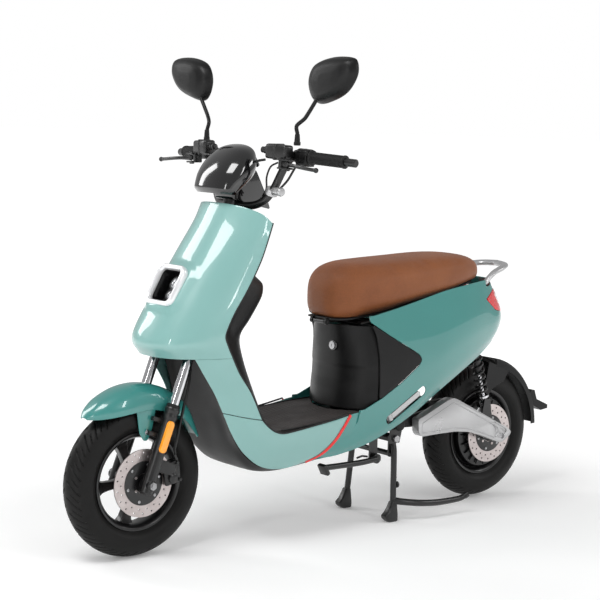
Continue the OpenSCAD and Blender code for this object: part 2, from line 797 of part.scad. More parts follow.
module front_tyre() {
    color([0.08, 0.08, 0.08]) translate([0, front_y, front_z]) tyre();
}

spokes = 5;

module front_rim() {
    color(plastic)
    translate([0, front_y, front_z])
        difference() {
            union() {
                rim_barrel();
                rotate([0, 90, 0]) translate([0, 0, -40]) cylinder(h = 88.9, r = 34);
                for (k = [0 : spokes - 1])
                    rotate([95 + k * 360 / spokes, 0, 0]) {
                        translate([-11, 24, -15]) cube([22, 96, 30]);
                        translate([-16, 24, -5]) cube([32, 94, 10]);
                    }
            }
            rotate([0, 90, 0]) translate([0, 0, -60]) cylinder(h = 120, r = 6 + gap);
            rotate([0, 90, 0]) translate([0, 0, 42]) cylinder(h = 8, r = 20);
            rotate([0, 90, 0]) translate([0, 0, -42]) cylinder(h = 10, r = 20);
        }
}

// A drilled brake disc about the X axis
module disc(r, holes) {
    rotate([0, 90, 0])
        difference() {
            cylinder(h = 3.5, r = r);
            translate([0, 0, -1]) cylinder(h = 6, r = 26);
            for (k = [0 : holes - 1]) {
                rotate(k * 360 / holes) translate([r - 9, 0, -1]) cylinder(h = 6, r = 2.6);
                rotate((k + 0.5) * 360 / holes) translate([r - 21, 0, -1]) cylinder(h = 6, r = 2.6);
            }
        }
}

module front_disc() {
    color([0.78, 0.70, 0.68]) translate([49.2, front_y, front_z]) disc(front_disc_r, 18);
    color(steel)
        translate([52.7, front_y, front_z])
            rotate([0, 90, 0])
                for (k = [0 : 4]) rotate(k * 72 + 20) translate([30, 0, 0]) cylinder(h = 2.2, r = 4);
}

// ---- rear ----

arm_x0 = 80;
arm_x1 = 94;
shock_x = 74;
shock_top = [553, 505];
shock_low = [612, 318];

module swingarm() {
    color(plastic)
    difference() {
        union() {
            across(pivot_y, pivot_z, -87.6, 87.6, 17);
            rod([-86, 322, 292], [86, 322, 292], 16);
            both() {
                plate(arm_x0, arm_x1 - 6, [[208, 296], [330, 316], [430, 330], [520, 300], [588, 268],
                    [600, 329], [624, 329], [640, 242], [672, 232], [672, 200], [628, 196], [500, 262],
                    [420, 284], [330, 272], [208, 276]]);
                across(rear_y, rear_z, arm_x0, arm_x1, 20);
                across(shock_low[0], shock_low[1], 66, arm_x0 + 2, 6.5);
            }
        }
        across(pivot_y, pivot_z, -110, 110, 8 + gap);
        across(rear_y, rear_z, -130, 130, 8 + gap);
    }
}

// The silver covers outside the arms
module swingarm_covers() {
    outer = [[285, 302], [305, 308], [408, 350], [428, 354], [446, 348], [672, 238], [686, 226], [682, 216],
        [646, 196], [632, 197], [560, 224], [500, 243], [440, 250], [370, 250], [300, 248], [288, 262]];
    hollow = [[296, 298], [412, 343], [440, 341], [616, 254], [616, 214], [560, 234], [440, 259], [300, 257]];
    color(silver)
    both()
        difference() {
            plate(arm_x1 + 0.5, 122, outer);
            plate(arm_x1 - 5, 118, hollow);
            across(rear_y, rear_z, 90, 112, 19);
            across(rear_y, rear_z, 90, 130, 8 + gap);
            plate(119, 124, [[598, 260], [606, 264], [662, 236], [666, 230], [642, 212], [634, 214]]);
        }
}

module rear_axle() {
    color(steel) {
        across(rear_y, rear_z, -119, 119, 8);
        hexagon(rear_y, rear_z, 94.4, 104, 13);
        hexagon(rear_y, rear_z, -104, -94.4, 13);
    }
}

module rear_caliper() {
    color(silver)
    translate([0, rear_y, rear_z])
        rotate([138, 0, 0])
            difference() {
                union() {
                    translate([52, 67, -28]) cube([26, 38, 56]);
                    translate([70, 80, 0]) rotate([0, 90, 0]) cylinder(h = 9.9, r = 12);
                }
                translate([60.5, 30, -60]) cube([9, 67, 120]);
            }
}

module rear_mudguard() {
    r = 234;
    color(plastic) {
        translate([0, rear_y, rear_z])
            rotate([0, 90, 0])
                rotate([0, 0, 92])
                    rotate_extrude(angle = 78)
                        polygon([[r, -40], [r - 8, -50], [r - 26, -52], [r - 26, -49], [r - 10, -47],
                            [r - 3, -38], [r - 3, 38], [r - 10, 47], [r - 26, 49], [r - 26, 52], [r - 8, 50],
                            [r, 40]]);
        both() {
            plate(48.4, 51.4, [[rear_y + 4, 438], [rear_y + 96, 406], [rear_y + 72, 372],
                [rear_y + 24, 352], [rear_y - 8, 322], [rear_y - 20, 322]]);
            plate(50, 80, [[rear_y - 22, 323], [rear_y - 9, 323], [rear_y - 9, 332], [rear_y - 22, 332]]);
        }
        difference() {
            plate(-35, 35, [[858, 310], [868, 330], [884, 327], [896, 296], [plate_end_y, 274],
                [plate_end_y, 262], [918, 258], [882, 276], [872, 282]]);
            for (s = [-1, 1]) translate([s * 24, 924, 240]) cylinder(h = 60, r = 3.5);
        }
    }
}

module rear_tyre() {
    color([0.08, 0.08, 0.08]) translate([0, rear_y, rear_z]) tyre();
}

module hub_motor() {
    color(plastic)
    translate([0, rear_y, rear_z])
        difference() {
            union() {
                rim_barrel();
                rotate([0, 90, 0])
                    rotate_extrude()
                        polygon([[0, -52], [60, -52], [70, -42], [104, -40], [108, -30], [108, -16], [117, -8],
                            [117, 8], [108, 16], [108, 30], [104, 40], [70, 42], [60, 62.2], [0, 62.2]]);
            }
            rotate([0, 90, 0]) translate([0, 0, -80]) cylinder(h = 160, r = 8 + gap);
        }
}

module rear_disc() {
    color([0.78, 0.70, 0.68]) translate([62.5, rear_y, rear_z]) disc(rear_disc_r, 18);
    color(steel)
        translate([66, rear_y, rear_z])
            rotate([0, 90, 0])
                for (k = [0 : 4]) rotate(k * 72 + 20) translate([36, 0, 0]) cylinder(h = 3, r = 4);
}

shock_angle = atan2(shock_low[0] - shock_top[0], shock_top[1] - shock_low[1]);
shock_len = norm([shock_low[0] - shock_top[0], shock_low[1] - shock_top[1]]);

// Shock coordinates: origin at the upper eye, +Z down the shock
module on_shock() {
    translate([shock_x, shock_top[0], shock_top[1]]) rotate([180 + shock_angle, 0, 0]) children();
}

module shock_bodies() {
    color(plastic)
    both()
        on_shock()
            difference() {
                union() {
                    rotate([0, 90, 0]) cylinder(h = 18, r = 13, center = true);
                    translate([0, 0, 8]) cylinder(h = 94, r = 11);
                    translate([0, 0, 16]) cylinder(h = 6, r = 18);
                }
                rotate([0, 90, 0]) cylinder(h = 40, r = 7 + gap, center = true);
                translate([0, 0, 24]) cylinder(h = 90, r = 5.5 + gap);
            }
}

module shock_rods() {
    color(steel)
    both()
        on_shock()
            difference() {
                union() {
                    translate([0, 0, 90]) cylinder(h = shock_len - 98, r = 5.5);
                    translate([0, 0, shock_len - 24]) cylinder(h = 6, r = 18);
                    translate([0, 0, shock_len]) rotate([0, 90, 0]) cylinder(h = 10, r = 12, center = true);
                }
                translate([0, 0, shock_len]) rotate([0, 90, 0]) cylinder(h = 40, r = 7, center = true);
            }
}

module shock_springs() {
    turns = 6;
    low = 26;
    high = shock_len - 28;
    color(plastic)
    both()
        on_shock()
            hose([for (k = [0 : 12 * turns]) [16 * cos(30 * k), 16 * sin(30 * k),
                low + (high - low) * k / (12 * turns)]], 3.4, 6, [0, 0, 1]);
}

// ---- seat, stands and pegs ----

// Seat rings: [y, half width, lowest z, highest z]
seat_rings = [[-30, 26, 648, 690], [-24, 48, 628, 713], [-8, 74, 614, 742], [35, 104, 613, 762],
    [100, 122, 621, 770], [180, 131, 635, 774], [280, 133, 655, 778], [400, 131, 677, 783],
    [480, 118, 692, 782], [540, 93, 701, 774], [575, 66, 704, 759], [594, 40, 706, 738], [601, 17, 708, 724]];

// The seat's outline at one place: round above, flatter below
function seat_ring(s, n) = [for (k = [0 : n - 1]) let (a = 360 * k / n, p = a > 180 ? 0.5 : 0.75)
    [s[1] * sign(cos(a)) * pow(abs(cos(a)), p), s[0],
        (s[2] + s[3]) / 2 + (s[3] - s[2]) / 2 * sign(sin(a)) * pow(abs(sin(a)), p)]];

module seat_cushion() {
    color([0.50, 0.28, 0.16]) loft([for (s = smooth(seat_rings, 2)) seat_ring(s, 24)]);
}

// The stiff pan under the cushion, with its hinge eyes
module seat_base() {
    rows = [for (s = [for (i = [2 : 9]) seat_rings[i]])
        whole([for (t = [0, 0.4, 0.7]) [t * s[1], s[0], s[2] - 1.2]])];
    color(plastic)
    difference() {
        union() {
            sheet(patch(rows, 2, 1), -5);
            both() {
                across(hinge_y, hinge_z, 25, 35, 8);
                translate([25, hinge_y - 6, hinge_z]) cube([10, 12, 12]);
            }
        }
        across(hinge_y, hinge_z, -60, 60, 3 + gap);
    }
}

module centre_stand() {
    color(plastic)
    difference() {
        union() {
            across(stand_y, stand_z, -87.6, 87.6, 11);
            rod([-88, 215, 200], [88, 215, 200], 8);
            both() {
                rod([74, stand_y, stand_z], [foot_x, 209, 16], 11);
                translate([foot_x - 14, 186, 0]) cube([28, 46, 9]);
                translate([foot_x - 12.5, 196, 8]) cube([25, 26, 13]);
            }
            rod([98, 214, 66], [137, 292, 56], 7.4);
            rod([135.5, 287, 56.5], [140, 452, 42], 6.6);
            rod([138.5, 446, 40], [150, 468, 56], 7.2);
        }
        across(stand_y, stand_z, -110, 110, 7 + gap);
    }
}

module side_stand() {
    color(plastic)
    difference() {
        union() {
            across(side_pivot[1], side_pivot[2], 105, 121, 14);
            rod(side_pivot, side_pivot + [4, -200, -2], 7.5);
            translate(side_pivot + [-10, -222, -12]) cube([30, 24, 20]);
        }
        across(side_pivot[1], side_pivot[2], 90, 140, 5 + gap);
    }
}

peg_angle = 29.2;
peg_x = 139;

// Footpeg coordinates on the left: origin at the hinge, +Y along the folded peg, +Z along the hinge pin
module on_peg() {
    translate([peg_x, 152, 325]) rotate([peg_angle, 0, 0]) children();
}

module footpeg_slot() {
    on_peg() translate([-40, -16, -15]) cube([80, 162, 30]);
}

module footpeg() {
    color(silver)
    on_peg()
        difference() {
            union() {
                cylinder(h = 20, r = 9, center = true);
                translate([-7, 6, -8]) cube([14, 116, 16]);
                translate([0, 122, 0]) rotate([0, 90, 0]) cylinder(h = 14, r = 8, center = true);
            }
            cylinder(h = 40, r = 3 + gap, center = true);
        }
}

module footpeg_left() { footpeg(); }
module footpeg_right() { mirror([1, 0, 0]) footpeg(); }

// ---- nodes ----

place() main_frame();
place() front_cowl();
place() headlight_bezel();
place() headlight_housing();
place() headlight_lenses();
place() inner_leg_shield();
place() belly_pan();
place() floor_mat();
place() floor_side_panels();
place() under_seat_panel();
place() side_covers();
place() rear_panels();
place() tail_light();
place() grab_rail();
place() battery();
place() pivot_bolt();
place() seat_lock();
place() steering_stem();
place() fork_stanchions();
place() handlebar();
place() instrument_pod();
place() instrument_display();
place() left_grip();
place() switch_housings();
place() brake_master_cylinders();
place() bar_hook();
place() throttle_grip();
place() brake_lever_left();
place() brake_lever_right();
place() mirror_left();
place() mirror_glass_left();
place() mirror_right();
place() mirror_glass_right();
place() horn_button();
place() power_button();
place() fork_lowers();
place() front_axle();
place() front_fender();
place() front_caliper();
place() front_brake_hose();
place() front_tyre();
place() front_rim();
place() front_disc();
place() swingarm();
place() swingarm_covers();
place() rear_axle();
place() rear_caliper();
place() rear_mudguard();
place() rear_tyre();
place() hub_motor();
place() rear_disc();
place() shock_bodies();
place() shock_rods();
place() shock_springs();
place() seat_base();
place() seat_cushion();
place() centre_stand();
place() side_stand();
place() footpeg_left();
place() footpeg_right();
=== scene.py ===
"""Looks of the electric moped scooter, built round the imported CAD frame.

The functions work in the same vehicle millimetres as part.scad: -Y forward, +X the rider's left, +Z up,
origin on the ground midway between the axles. row() takes them into the frame's metres.
"""
import math

import bmesh
import bpy
import numpy as np
from mathutils import Matrix, Vector


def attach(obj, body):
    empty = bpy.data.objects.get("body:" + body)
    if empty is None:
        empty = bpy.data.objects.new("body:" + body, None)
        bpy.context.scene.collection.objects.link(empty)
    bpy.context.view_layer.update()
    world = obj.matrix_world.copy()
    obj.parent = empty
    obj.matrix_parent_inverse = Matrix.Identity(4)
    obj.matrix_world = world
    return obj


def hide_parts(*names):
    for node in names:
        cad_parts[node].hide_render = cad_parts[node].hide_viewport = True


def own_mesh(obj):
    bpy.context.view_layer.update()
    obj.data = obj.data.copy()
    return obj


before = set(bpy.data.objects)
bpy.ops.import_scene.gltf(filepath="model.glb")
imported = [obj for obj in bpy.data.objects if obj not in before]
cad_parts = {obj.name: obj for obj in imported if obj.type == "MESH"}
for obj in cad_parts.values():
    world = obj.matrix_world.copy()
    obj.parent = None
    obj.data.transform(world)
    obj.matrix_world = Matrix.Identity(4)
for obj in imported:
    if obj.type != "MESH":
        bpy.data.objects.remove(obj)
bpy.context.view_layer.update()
MID_Y = 46.0
RAKE_DEGREES = 20.5
RAKE = math.radians(RAKE_DEGREES)
FRONT = np.array([0.0, -648.0, 208.0])
REAR = np.array([0.0, 648.0, 215.0])


def row(p):
    p = np.asarray(p, float)
    return (p - np.array([0.0, MID_Y, 0.0])) / 1000.0


# ---------------------------------------------------------------- materials

def new_mat(name):
    m = bpy.data.materials.new(name)
    m.use_nodes = True
    nt = m.node_tree
    return m, nt, nt.nodes["Principled BSDF"]


def tex(nt, kind, scale, detail=3.0, rough=0.55, vec=None, **kw):
    n = nt.nodes.new(kind)
    n.inputs["Scale"].default_value = scale
    if "Detail" in n.inputs:
        n.inputs["Detail"].default_value = detail
    if "Roughness" in n.inputs:
        n.inputs["Roughness"].default_value = rough
    for k, v in kw.items():
        setattr(n, k, v)
    if vec is None:
        vec = coords(nt)
    nt.links.new(vec, n.inputs["Vector"])
    return n


def coords(nt):
    for n in nt.nodes:
        if n.type == "TEX_COORD":
            return n.outputs["Object"]
    return nt.nodes.new("ShaderNodeTexCoord").outputs["Object"]


def ramp(nt, src, stops):
    n = nt.nodes.new("ShaderNodeValToRGB")
    el = n.color_ramp.elements
    while len(el) < len(stops):
        el.new(0.5)
    for e, (p, c) in zip(el, stops):
        e.position = p
        e.color = (*c, 1) if len(c) == 3 else c
    nt.links.new(src, n.inputs["Fac"])
    return n.outputs["Color"]


def spread(nt, src, low, high, a=0.3, b=0.7):
    n = nt.nodes.new("ShaderNodeMapRange")
    for k, v in (("From Min", a), ("From Max", b), ("To Min", low), ("To Max", high)):
        n.inputs[k].default_value = v
    nt.links.new(src, n.inputs["Value"])
    return n.outputs["Result"]


def bump(nt, height, distance, normal=None):
    n = nt.nodes.new("ShaderNodeBump")
    n.inputs["Strength"].default_value = 1.0
    n.inputs["Distance"].default_value = distance
    nt.links.new(height, n.inputs["Height"])
    if normal is not None:
        nt.links.new(normal, n.inputs["Normal"])
    return n.outputs["Normal"]


def shade(c, k):
    return tuple(min(1.0, v * k) for v in c)


def node(nt, kind, **settings):
    n = nt.nodes.new(kind)
    for k, v in settings.items():
        setattr(n, k, v)
    return n


def worn(nt, colours, normal, wear, wear_colour):
    """Colours rubbed towards wear_colour in patches where an edge is sharp."""
    geo = nt.nodes.new("ShaderNodeNewGeometry")
    if normal is None:
        edge = spread(nt, geo.outputs["Pointiness"], 0.0, 1.0, 0.53, 0.60)
    else:
        dot = node(nt, "ShaderNodeVectorMath", operation="DOT_PRODUCT")
        nt.links.new(normal, dot.inputs[0])
        nt.links.new(geo.outputs["Normal"], dot.inputs[1])
        edge = spread(nt, dot.outputs["Value"], 1.0, 0.0, 0.75, 0.985)
    dirt = tex(nt, "ShaderNodeTexNoise", 60.0, 4.0)
    mul = node(nt, "ShaderNodeMath", operation="MULTIPLY")
    nt.links.new(edge, mul.inputs[0])
    nt.links.new(spread(nt, dirt.outputs["Fac"], 0.0, wear, 0.4, 0.65), mul.inputs[1])
    mix = node(nt, "ShaderNodeMix", data_type="RGBA")
    mix.inputs[7].default_value = (*wear_colour, 1)
    nt.links.new(mul.outputs[0], mix.inputs[0])
    nt.links.new(colours, mix.inputs[6])
    return mix.outputs[2]


ROUGH_SPREAD = 0.12
BEVEL_SAMPLES = 4


def surface(name, colour, rough=0.4, metal=0.0, coat=0.0, coat_rough=0.04, mottle=(6.0, 0.06),
            grain=(900.0, 0.00006), wave=None, wear=0.0, wear_colour=None, soft_edge=0.0, spec=0.5,
            emit=None, cell=None):
    """A procedural material: mottled colour, uneven roughness, fine grain, and wear at sharp edges."""
    m, nt, b = new_mat(name)
    normal = None
    if soft_edge:
        bev = node(nt, "ShaderNodeBevel", samples=BEVEL_SAMPLES)
        bev.inputs["Radius"].default_value = soft_edge
        normal = bev.outputs["Normal"]
    mot = tex(nt, "ShaderNodeTexNoise", mottle[0], 5.0)
    stops = [(0.32, shade(colour, 1 - mottle[1])), (0.68, shade(colour, 1 + mottle[1]))]
    colours = ramp(nt, mot.outputs["Fac"], stops)
    if wear:
        colours = worn(nt, colours, normal, wear, wear_colour)
    nt.links.new(colours, b.inputs["Base Color"])
    rn = tex(nt, "ShaderNodeTexNoise", 14.0, 4.0)
    low, high = rough * (1 - ROUGH_SPREAD), rough * (1 + ROUGH_SPREAD)
    nt.links.new(spread(nt, rn.outputs["Fac"], low, high), b.inputs["Roughness"])
    b.inputs["Metallic"].default_value = metal
    b.inputs["Coat Weight"].default_value = coat
    b.inputs["Coat Roughness"].default_value = coat_rough
    b.inputs["Specular IOR Level"].default_value = spec
    if emit:
        b.inputs["Emission Color"].default_value = (*emit[0], 1)
        b.inputs["Emission Strength"].default_value = emit[1]
    g = tex(nt, "ShaderNodeTexNoise", grain[0], 3.0)
    normal = bump(nt, g.outputs["Fac"], grain[1], normal)
    if cell:
        v = tex(nt, "ShaderNodeTexVoronoi", cell[0], feature="SMOOTH_F1")
        normal = bump(nt, v.outputs["Distance"], cell[1], normal)
    if wave:
        w = tex(nt, "ShaderNodeTexNoise", wave[0], 1.0)
        normal = bump(nt, w.outputs["Fac"], wave[1], normal)
    nt.links.new(normal, b.inputs["Normal"])
    return m


MINT = (0.215, 0.430, 0.405)
TEAL = (0.036, 0.235, 0.215)
MATERIALS = {
    "mint": surface("mint_paint_coat", MINT, 0.34, coat=1.0, coat_rough=0.02, mottle=(3.0, 0.02),
                    grain=(2500.0, 0.000004), wave=(7.0, 0.0004)),
    "teal": surface("teal_paint_coat", TEAL, 0.32, coat=1.0, coat_rough=0.02, mottle=(3.0, 0.03),
                    grain=(2500.0, 0.000004), wave=(7.0, 0.0004)),
    "plastic": surface("black_moulded_plastic", (0.003, 0.003, 0.0032), 0.40, spec=0.3, mottle=(9.0, 0.15),
                       grain=(1500.0, 0.00005), cell=(900.0, 0.00005), wear=0.3,
                       wear_colour=(0.05, 0.05, 0.05), soft_edge=0.0012),
    "gloss": surface("gloss_black_plastic", (0.002, 0.002, 0.0025), 0.12, coat=1.0, mottle=(8.0, 0.1),
                     grain=(1800.0, 0.000004), soft_edge=0.001),
    "screen": surface("display_glass", (0.008, 0.011, 0.014), 0.06, coat=1.0, mottle=(20.0, 0.3),
                      grain=(2000.0, 0.000002)),
    "bezel": surface("satin_silver_bezel", (0.80, 0.81, 0.83), 0.22, metal=0.55, coat=0.6,
                     mottle=(15.0, 0.03), grain=(3000.0, 0.000006), emit=((1.0, 0.98, 0.96), 0.10)),
    "reflector_bowl": surface("lamp_interior", (0.004, 0.004, 0.0045), 0.25, mottle=(40.0, 0.25),
                              grain=(800.0, 0.00002)),
    "mat": surface("rubber_mat", (0.045, 0.039, 0.037), 0.55, mottle=(18.0, 0.15), grain=(700.0, 0.00022),
                   cell=(450.0, 0.00018), spec=0.35),
    "tail": surface("tail_lens_red", (0.62, 0.010, 0.014), 0.10, coat=1.0, mottle=(30.0, 0.15),
                    grain=(900.0, 0.00002), cell=(190.0, 0.0010), emit=((0.9, 0.02, 0.02), 0.12)),
    "tail_white": surface("tail_lens_clear", (0.86, 0.84, 0.82), 0.12, coat=1.0, mottle=(40.0, 0.06),
                          grain=(900.0, 0.00002), cell=(230.0, 0.0008), emit=((1.0, 0.95, 0.92), 0.18)),
    "silver": surface("painted_silver", (0.50, 0.50, 0.505), 0.30, metal=0.7, coat=0.35, coat_rough=0.12,
                      mottle=(10.0, 0.04), grain=(1600.0, 0.000025), soft_edge=0.0012),
    "cast": surface("cast_aluminium", (0.60, 0.60, 0.61), 0.38, metal=0.85, mottle=(16.0, 0.06),
                    grain=(700.0, 0.00012), soft_edge=0.0012),
    "black_metal": surface("black_coated_metal", (0.003, 0.003, 0.0032), 0.36, mottle=(12.0, 0.2),
                           grain=(1100.0, 0.00005), wear=0.4, wear_colour=(0.08, 0.08, 0.08),
                           soft_edge=0.0012, coat=0.25, coat_rough=0.25),
    "cast_black": surface("black_cast_wheel", (0.005, 0.005, 0.0055), 0.34, metal=0.1, mottle=(12.0, 0.15),
                          grain=(900.0, 0.00006), coat=0.4, coat_rough=0.2, soft_edge=0.001),
    "chrome": surface("polished_chrome", (0.66, 0.66, 0.68), 0.07, metal=1.0, mottle=(20.0, 0.03),
                      grain=(2500.0, 0.000003)),
    "zinc": surface("zinc_plated_steel", (0.42, 0.42, 0.43), 0.32, metal=1.0, mottle=(60.0, 0.12),
                    grain=(1500.0, 0.00003), soft_edge=0.0008),
    "grip": surface("grip_rubber", (0.006, 0.006, 0.006), 0.58, mottle=(30.0, 0.15), grain=(900.0, 0.00008),
                    spec=0.35),
    "hose": surface("hose_rubber", (0.004, 0.004, 0.004), 0.42, mottle=(40.0, 0.15), grain=(900.0, 0.00005)),
    "tyre": surface("tyre_rubber", (0.004, 0.0038, 0.0036), 0.50, mottle=(25.0, 0.2), grain=(600.0, 0.00012),
                    spec=0.25, wear=0.3, wear_colour=(0.014, 0.014, 0.014)),
    "mirror": surface("mirror_silvering", (0.86, 0.87, 0.88), 0.03, metal=1.0, mottle=(10.0, 0.01),
                      grain=(2000.0, 0.000001)),
    # the amber reflector lenses get a painted glow from their emission, standing in for the light they
    # reflect; they are no lamps
    "amber": surface("amber_reflector_painted_glow", (0.85, 0.30, 0.01), 0.12, coat=1.0, mottle=(60.0, 0.1),
                     grain=(900.0, 0.00002), cell=(420.0, 0.0006), emit=((1.0, 0.4, 0.02), 0.25)),
    "orange": surface("orange_button_plastic", (0.75, 0.20, 0.02), 0.35, mottle=(60.0, 0.08),
                      soft_edge=0.0006),
    "red": surface("red_button_plastic", (0.55, 0.02, 0.02), 0.35, mottle=(60.0, 0.08), soft_edge=0.0006),
    "stripe": surface("red_stripe_vinyl", (0.80, 0.008, 0.006), 0.30, coat=0.4, mottle=(20.0, 0.04),
                      grain=(1800.0, 0.00001)),
    "trim": surface("black_trim_rubber", (0.005, 0.005, 0.005), 0.5, mottle=(30.0, 0.15),
                    grain=(900.0, 0.00006)),
}


def disc_material():
    """Ground stainless steel with a fine grain, warm in colour."""
    m, nt, b = new_mat("ground_disc_steel")
    mot = tex(nt, "ShaderNodeTexNoise", 30.0, 4.0)
    nt.links.new(ramp(nt, mot.outputs["Fac"], [(0.3, (0.50, 0.44, 0.43)), (0.7, (0.62, 0.56, 0.55))]),
                 b.inputs["Base Color"])
    b.inputs["Metallic"].default_value = 0.9
    b.inputs["Roughness"].default_value = 0.30
    w = nt.nodes.new("ShaderNodeTexNoise")
    w.inputs["Scale"].default_value = 900.0
    nt.links.new(coords(nt), w.inputs["Vector"])
    nt.links.new(bump(nt, w.outputs["Fac"], 0.00003), b.inputs["Normal"])
    return m


def glass_material():
    m, nt, b = new_mat("lamp_lens_glass")
    b.inputs["Base Color"].default_value = (0.95, 0.97, 1.0, 1)
    b.inputs["Transmission Weight"].default_value = 0.85
    b.inputs["Coat Weight"].default_value = 1.0
    n = tex(nt, "ShaderNodeTexNoise", 50.0, 2.0)
    nt.links.new(spread(nt, n.outputs["Fac"], 0.02, 0.06), b.inputs["Roughness"])
    nt.links.new(bump(nt, n.outputs["Fac"], 0.00004), b.inputs["Normal"])
    return m


def leather_material():
    """Pebbled brown leather: raised cells, painted shade darkening the creases between them, soft broad
    sheen.
    """
    m, nt, b = new_mat("pebbled_leather")
    warp = tex(nt, "ShaderNodeTexNoise", 90.0, 2.0)
    mix = node(nt, "ShaderNodeMix", data_type="VECTOR")
    mix.inputs[0].default_value = 0.012
    nt.links.new(coords(nt), mix.inputs[4])
    nt.links.new(warp.outputs["Color"], mix.inputs[5])
    cells = tex(nt, "ShaderNodeTexVoronoi", 330.0, vec=mix.outputs[1], feature="DISTANCE_TO_EDGE")
    fine = tex(nt, "ShaderNodeTexNoise", 1400.0, 3.0)
    broad = tex(nt, "ShaderNodeTexNoise", 9.0, 4.0)
    # painted shade: the colour is darkened to 0.62 towards the cell edges, in the creases between the pebbles
    crease_shade = ramp(nt, cells.outputs["Distance"], [(0.0, (0.62, 0.62, 0.62)), (0.16, (1, 1, 1))])
    base = ramp(nt, broad.outputs["Fac"], [(0.3, (0.270, 0.082, 0.024)), (0.7, (0.345, 0.112, 0.034))])
    mul = node(nt, "ShaderNodeMix", data_type="RGBA", blend_type="MULTIPLY")
    mul.inputs[0].default_value = 1.0
    nt.links.new(base, mul.inputs[6])
    nt.links.new(crease_shade, mul.inputs[7])
    nt.links.new(mul.outputs[2], b.inputs["Base Color"])
    nt.links.new(spread(nt, fine.outputs["Fac"], 0.40, 0.52), b.inputs["Roughness"])
    b.inputs["Specular IOR Level"].default_value = 0.35
    b.inputs["Sheen Weight"].default_value = 0.05
    b.inputs["Sheen Roughness"].default_value = 0.4
    h = spread(nt, cells.outputs["Distance"], 0.0, 1.0, 0.0, 0.22)
    nrm = bump(nt, h, 0.00045)
    nt.links.new(bump(nt, fine.outputs["Fac"], 0.00012, nrm), b.inputs["Normal"])
    return m


MATERIALS["disc"] = disc_material()
MATERIALS["glass"] = glass_material()
MATERIALS["leather"] = leather_material()

# ---------------------------------------------------------------- curves and surfaces


def unit(v):
    return v / max(float(np.linalg.norm(v)), 1e-9)


def slope(a, b, c):
    return unit(c - a) * min(np.linalg.norm(c - b), np.linalg.norm(b - a))


def smooth(pts, n):
    """A curve through pts, n steps between each pair, its tangents short enough not to overshoot."""
    p = [np.asarray(q, float) for q in pts]
    p = [2 * p[0] - p[1]] + p + [2 * p[-1] - p[-2]]
    out = []
    for i in range(1, len(p) - 2):
        a, b, c, d = p[i - 1:i + 3]
        s0, s1 = slope(a, b, c), slope(b, c, d)
        for k in range(n):
            t = k / n
            t2, t3 = t * t, t * t * t
            out.append((2 * t3 - 3 * t2 + 1) * b + (t3 - 2 * t2 + t) * s0 + (3 * t2 - 2 * t3) * c
                       + (t3 - t2) * s1)
    out.append(p[-2])
    return np.array(out)


def patch(rows, n_rows, n_cols):
    fine = np.array([smooth(r, n_cols) for r in rows])
    return np.array([smooth(fine[:, j], n_rows) for j in range(fine.shape[1])]).transpose(1, 0, 2)


def relax(g, times):
    """Evens out the curvature of a grid without moving its edges."""
    for _ in range(times):
        h = g.copy()
        around = g[:-2, 1:-1] + g[2:, 1:-1] + g[1:-1, :-2] + g[1:-1, 2:]
        h[1:-1, 1:-1] = 0.5 * g[1:-1, 1:-1] + 0.125 * around
        g = h
    return g


def whole(r):
    return [[-p[0], p[1], p[2]] for p in r[:0:-1]] + [list(p) for p in r]


def normals(g):
    du = np.gradient(g, axis=0)
    dv = np.gradient(g, axis=1)
    n = np.cross(du, dv)
    return n / np.maximum(np.linalg.norm(n, axis=2, keepdims=True), 1e-9)


def sheet(g, t):
    """Vertices and faces of a skin of thickness t on one side of the grid."""
    m, n = g.shape[:2]
    nrm = normals(g)
    v = np.concatenate([g.reshape(-1, 3), (g - t * nrm).reshape(-1, 3)])
    f, o = [], m * n
    for i in range(m - 1):
        for j in range(n - 1):
            a, b, c, d = i * n + j, i * n + j + 1, (i + 1) * n + j + 1, (i + 1) * n + j
            f.append((a, b, c, d))
            f.append((o + d, o + c, o + b, o + a))
    for i in range(m - 1):
        a, b = i * n, (i + 1) * n
        f.append((a, b, o + b, o + a))
        a, b = i * n + n - 1, (i + 1) * n + n - 1
        f.append((b, a, o + a, o + b))
    for j in range(n - 1):
        a, b = j, j + 1
        f.append((b, a, o + a, o + b))
        a, b = (m - 1) * n + j, (m - 1) * n + j + 1
        f.append((a, b, o + b, o + a))
    return v, f


def loft(rings, closed=True, cap=True):
    rings = [np.asarray(r, float) for r in rings]
    m, n = len(rings), len(rings[0])
    v = np.concatenate(rings)
    f = []
    for i in range(m - 1):
        for j in range(n if closed else n - 1):
            k = (j + 1) % n
            f.append((i * n + j, i * n + k, (i + 1) * n + k, (i + 1) * n + j))
    if cap:
        f.append(tuple(range(n))[::-1])
        f.append(tuple((m - 1) * n + j for j in range(n)))
    return v, f


def tube(path, r, n=16, side=(0, 0, 1), r2=None):
    """A tube along path; r may be a list; r2 gives the second half-width of an oval section."""
    path = np.asarray(path, float)
    last = len(path) - 1
    rs = np.full(len(path), r, float) if np.isscalar(r) else np.asarray(r, float)
    rings = []
    prev = None
    for i, p in enumerate(path):
        t = unit(path[min(i + 1, last)] - path[max(i - 1, 0)])
        a = np.cross(t, np.asarray(side, float)) if prev is None else prev - t * np.dot(prev, t)
        if np.linalg.norm(a) < 1e-6:
            a = np.cross(t, [0.3, 0.5, 0.8])
        a = unit(a)
        prev = a
        b = np.cross(t, a)
        q = rs[i] if r2 is None else rs[i] * r2 / max(rs.max(), 1e-9)
        ang = np.arange(n) * 2 * math.pi / n
        rings.append(p + np.outer(np.cos(ang) * rs[i], a) + np.outer(np.sin(ang) * q, b))
    return loft(rings)


def lathe(profile, origin, axis, n=64):
    """A turned solid round axis from (distance along axis, radius) points, its two ends capped."""
    axis = unit(np.asarray(axis, float))
    u = unit(np.cross(axis, [0.123, 0.456, 0.881]))
    w = np.cross(axis, u)
    ang = np.arange(n) * 2 * math.pi / n
    circle = np.outer(np.cos(ang), u) + np.outer(np.sin(ang), w)
    return loft([np.asarray(origin, float) + axis * s + max(r, 0.02) * circle for s, r in profile])


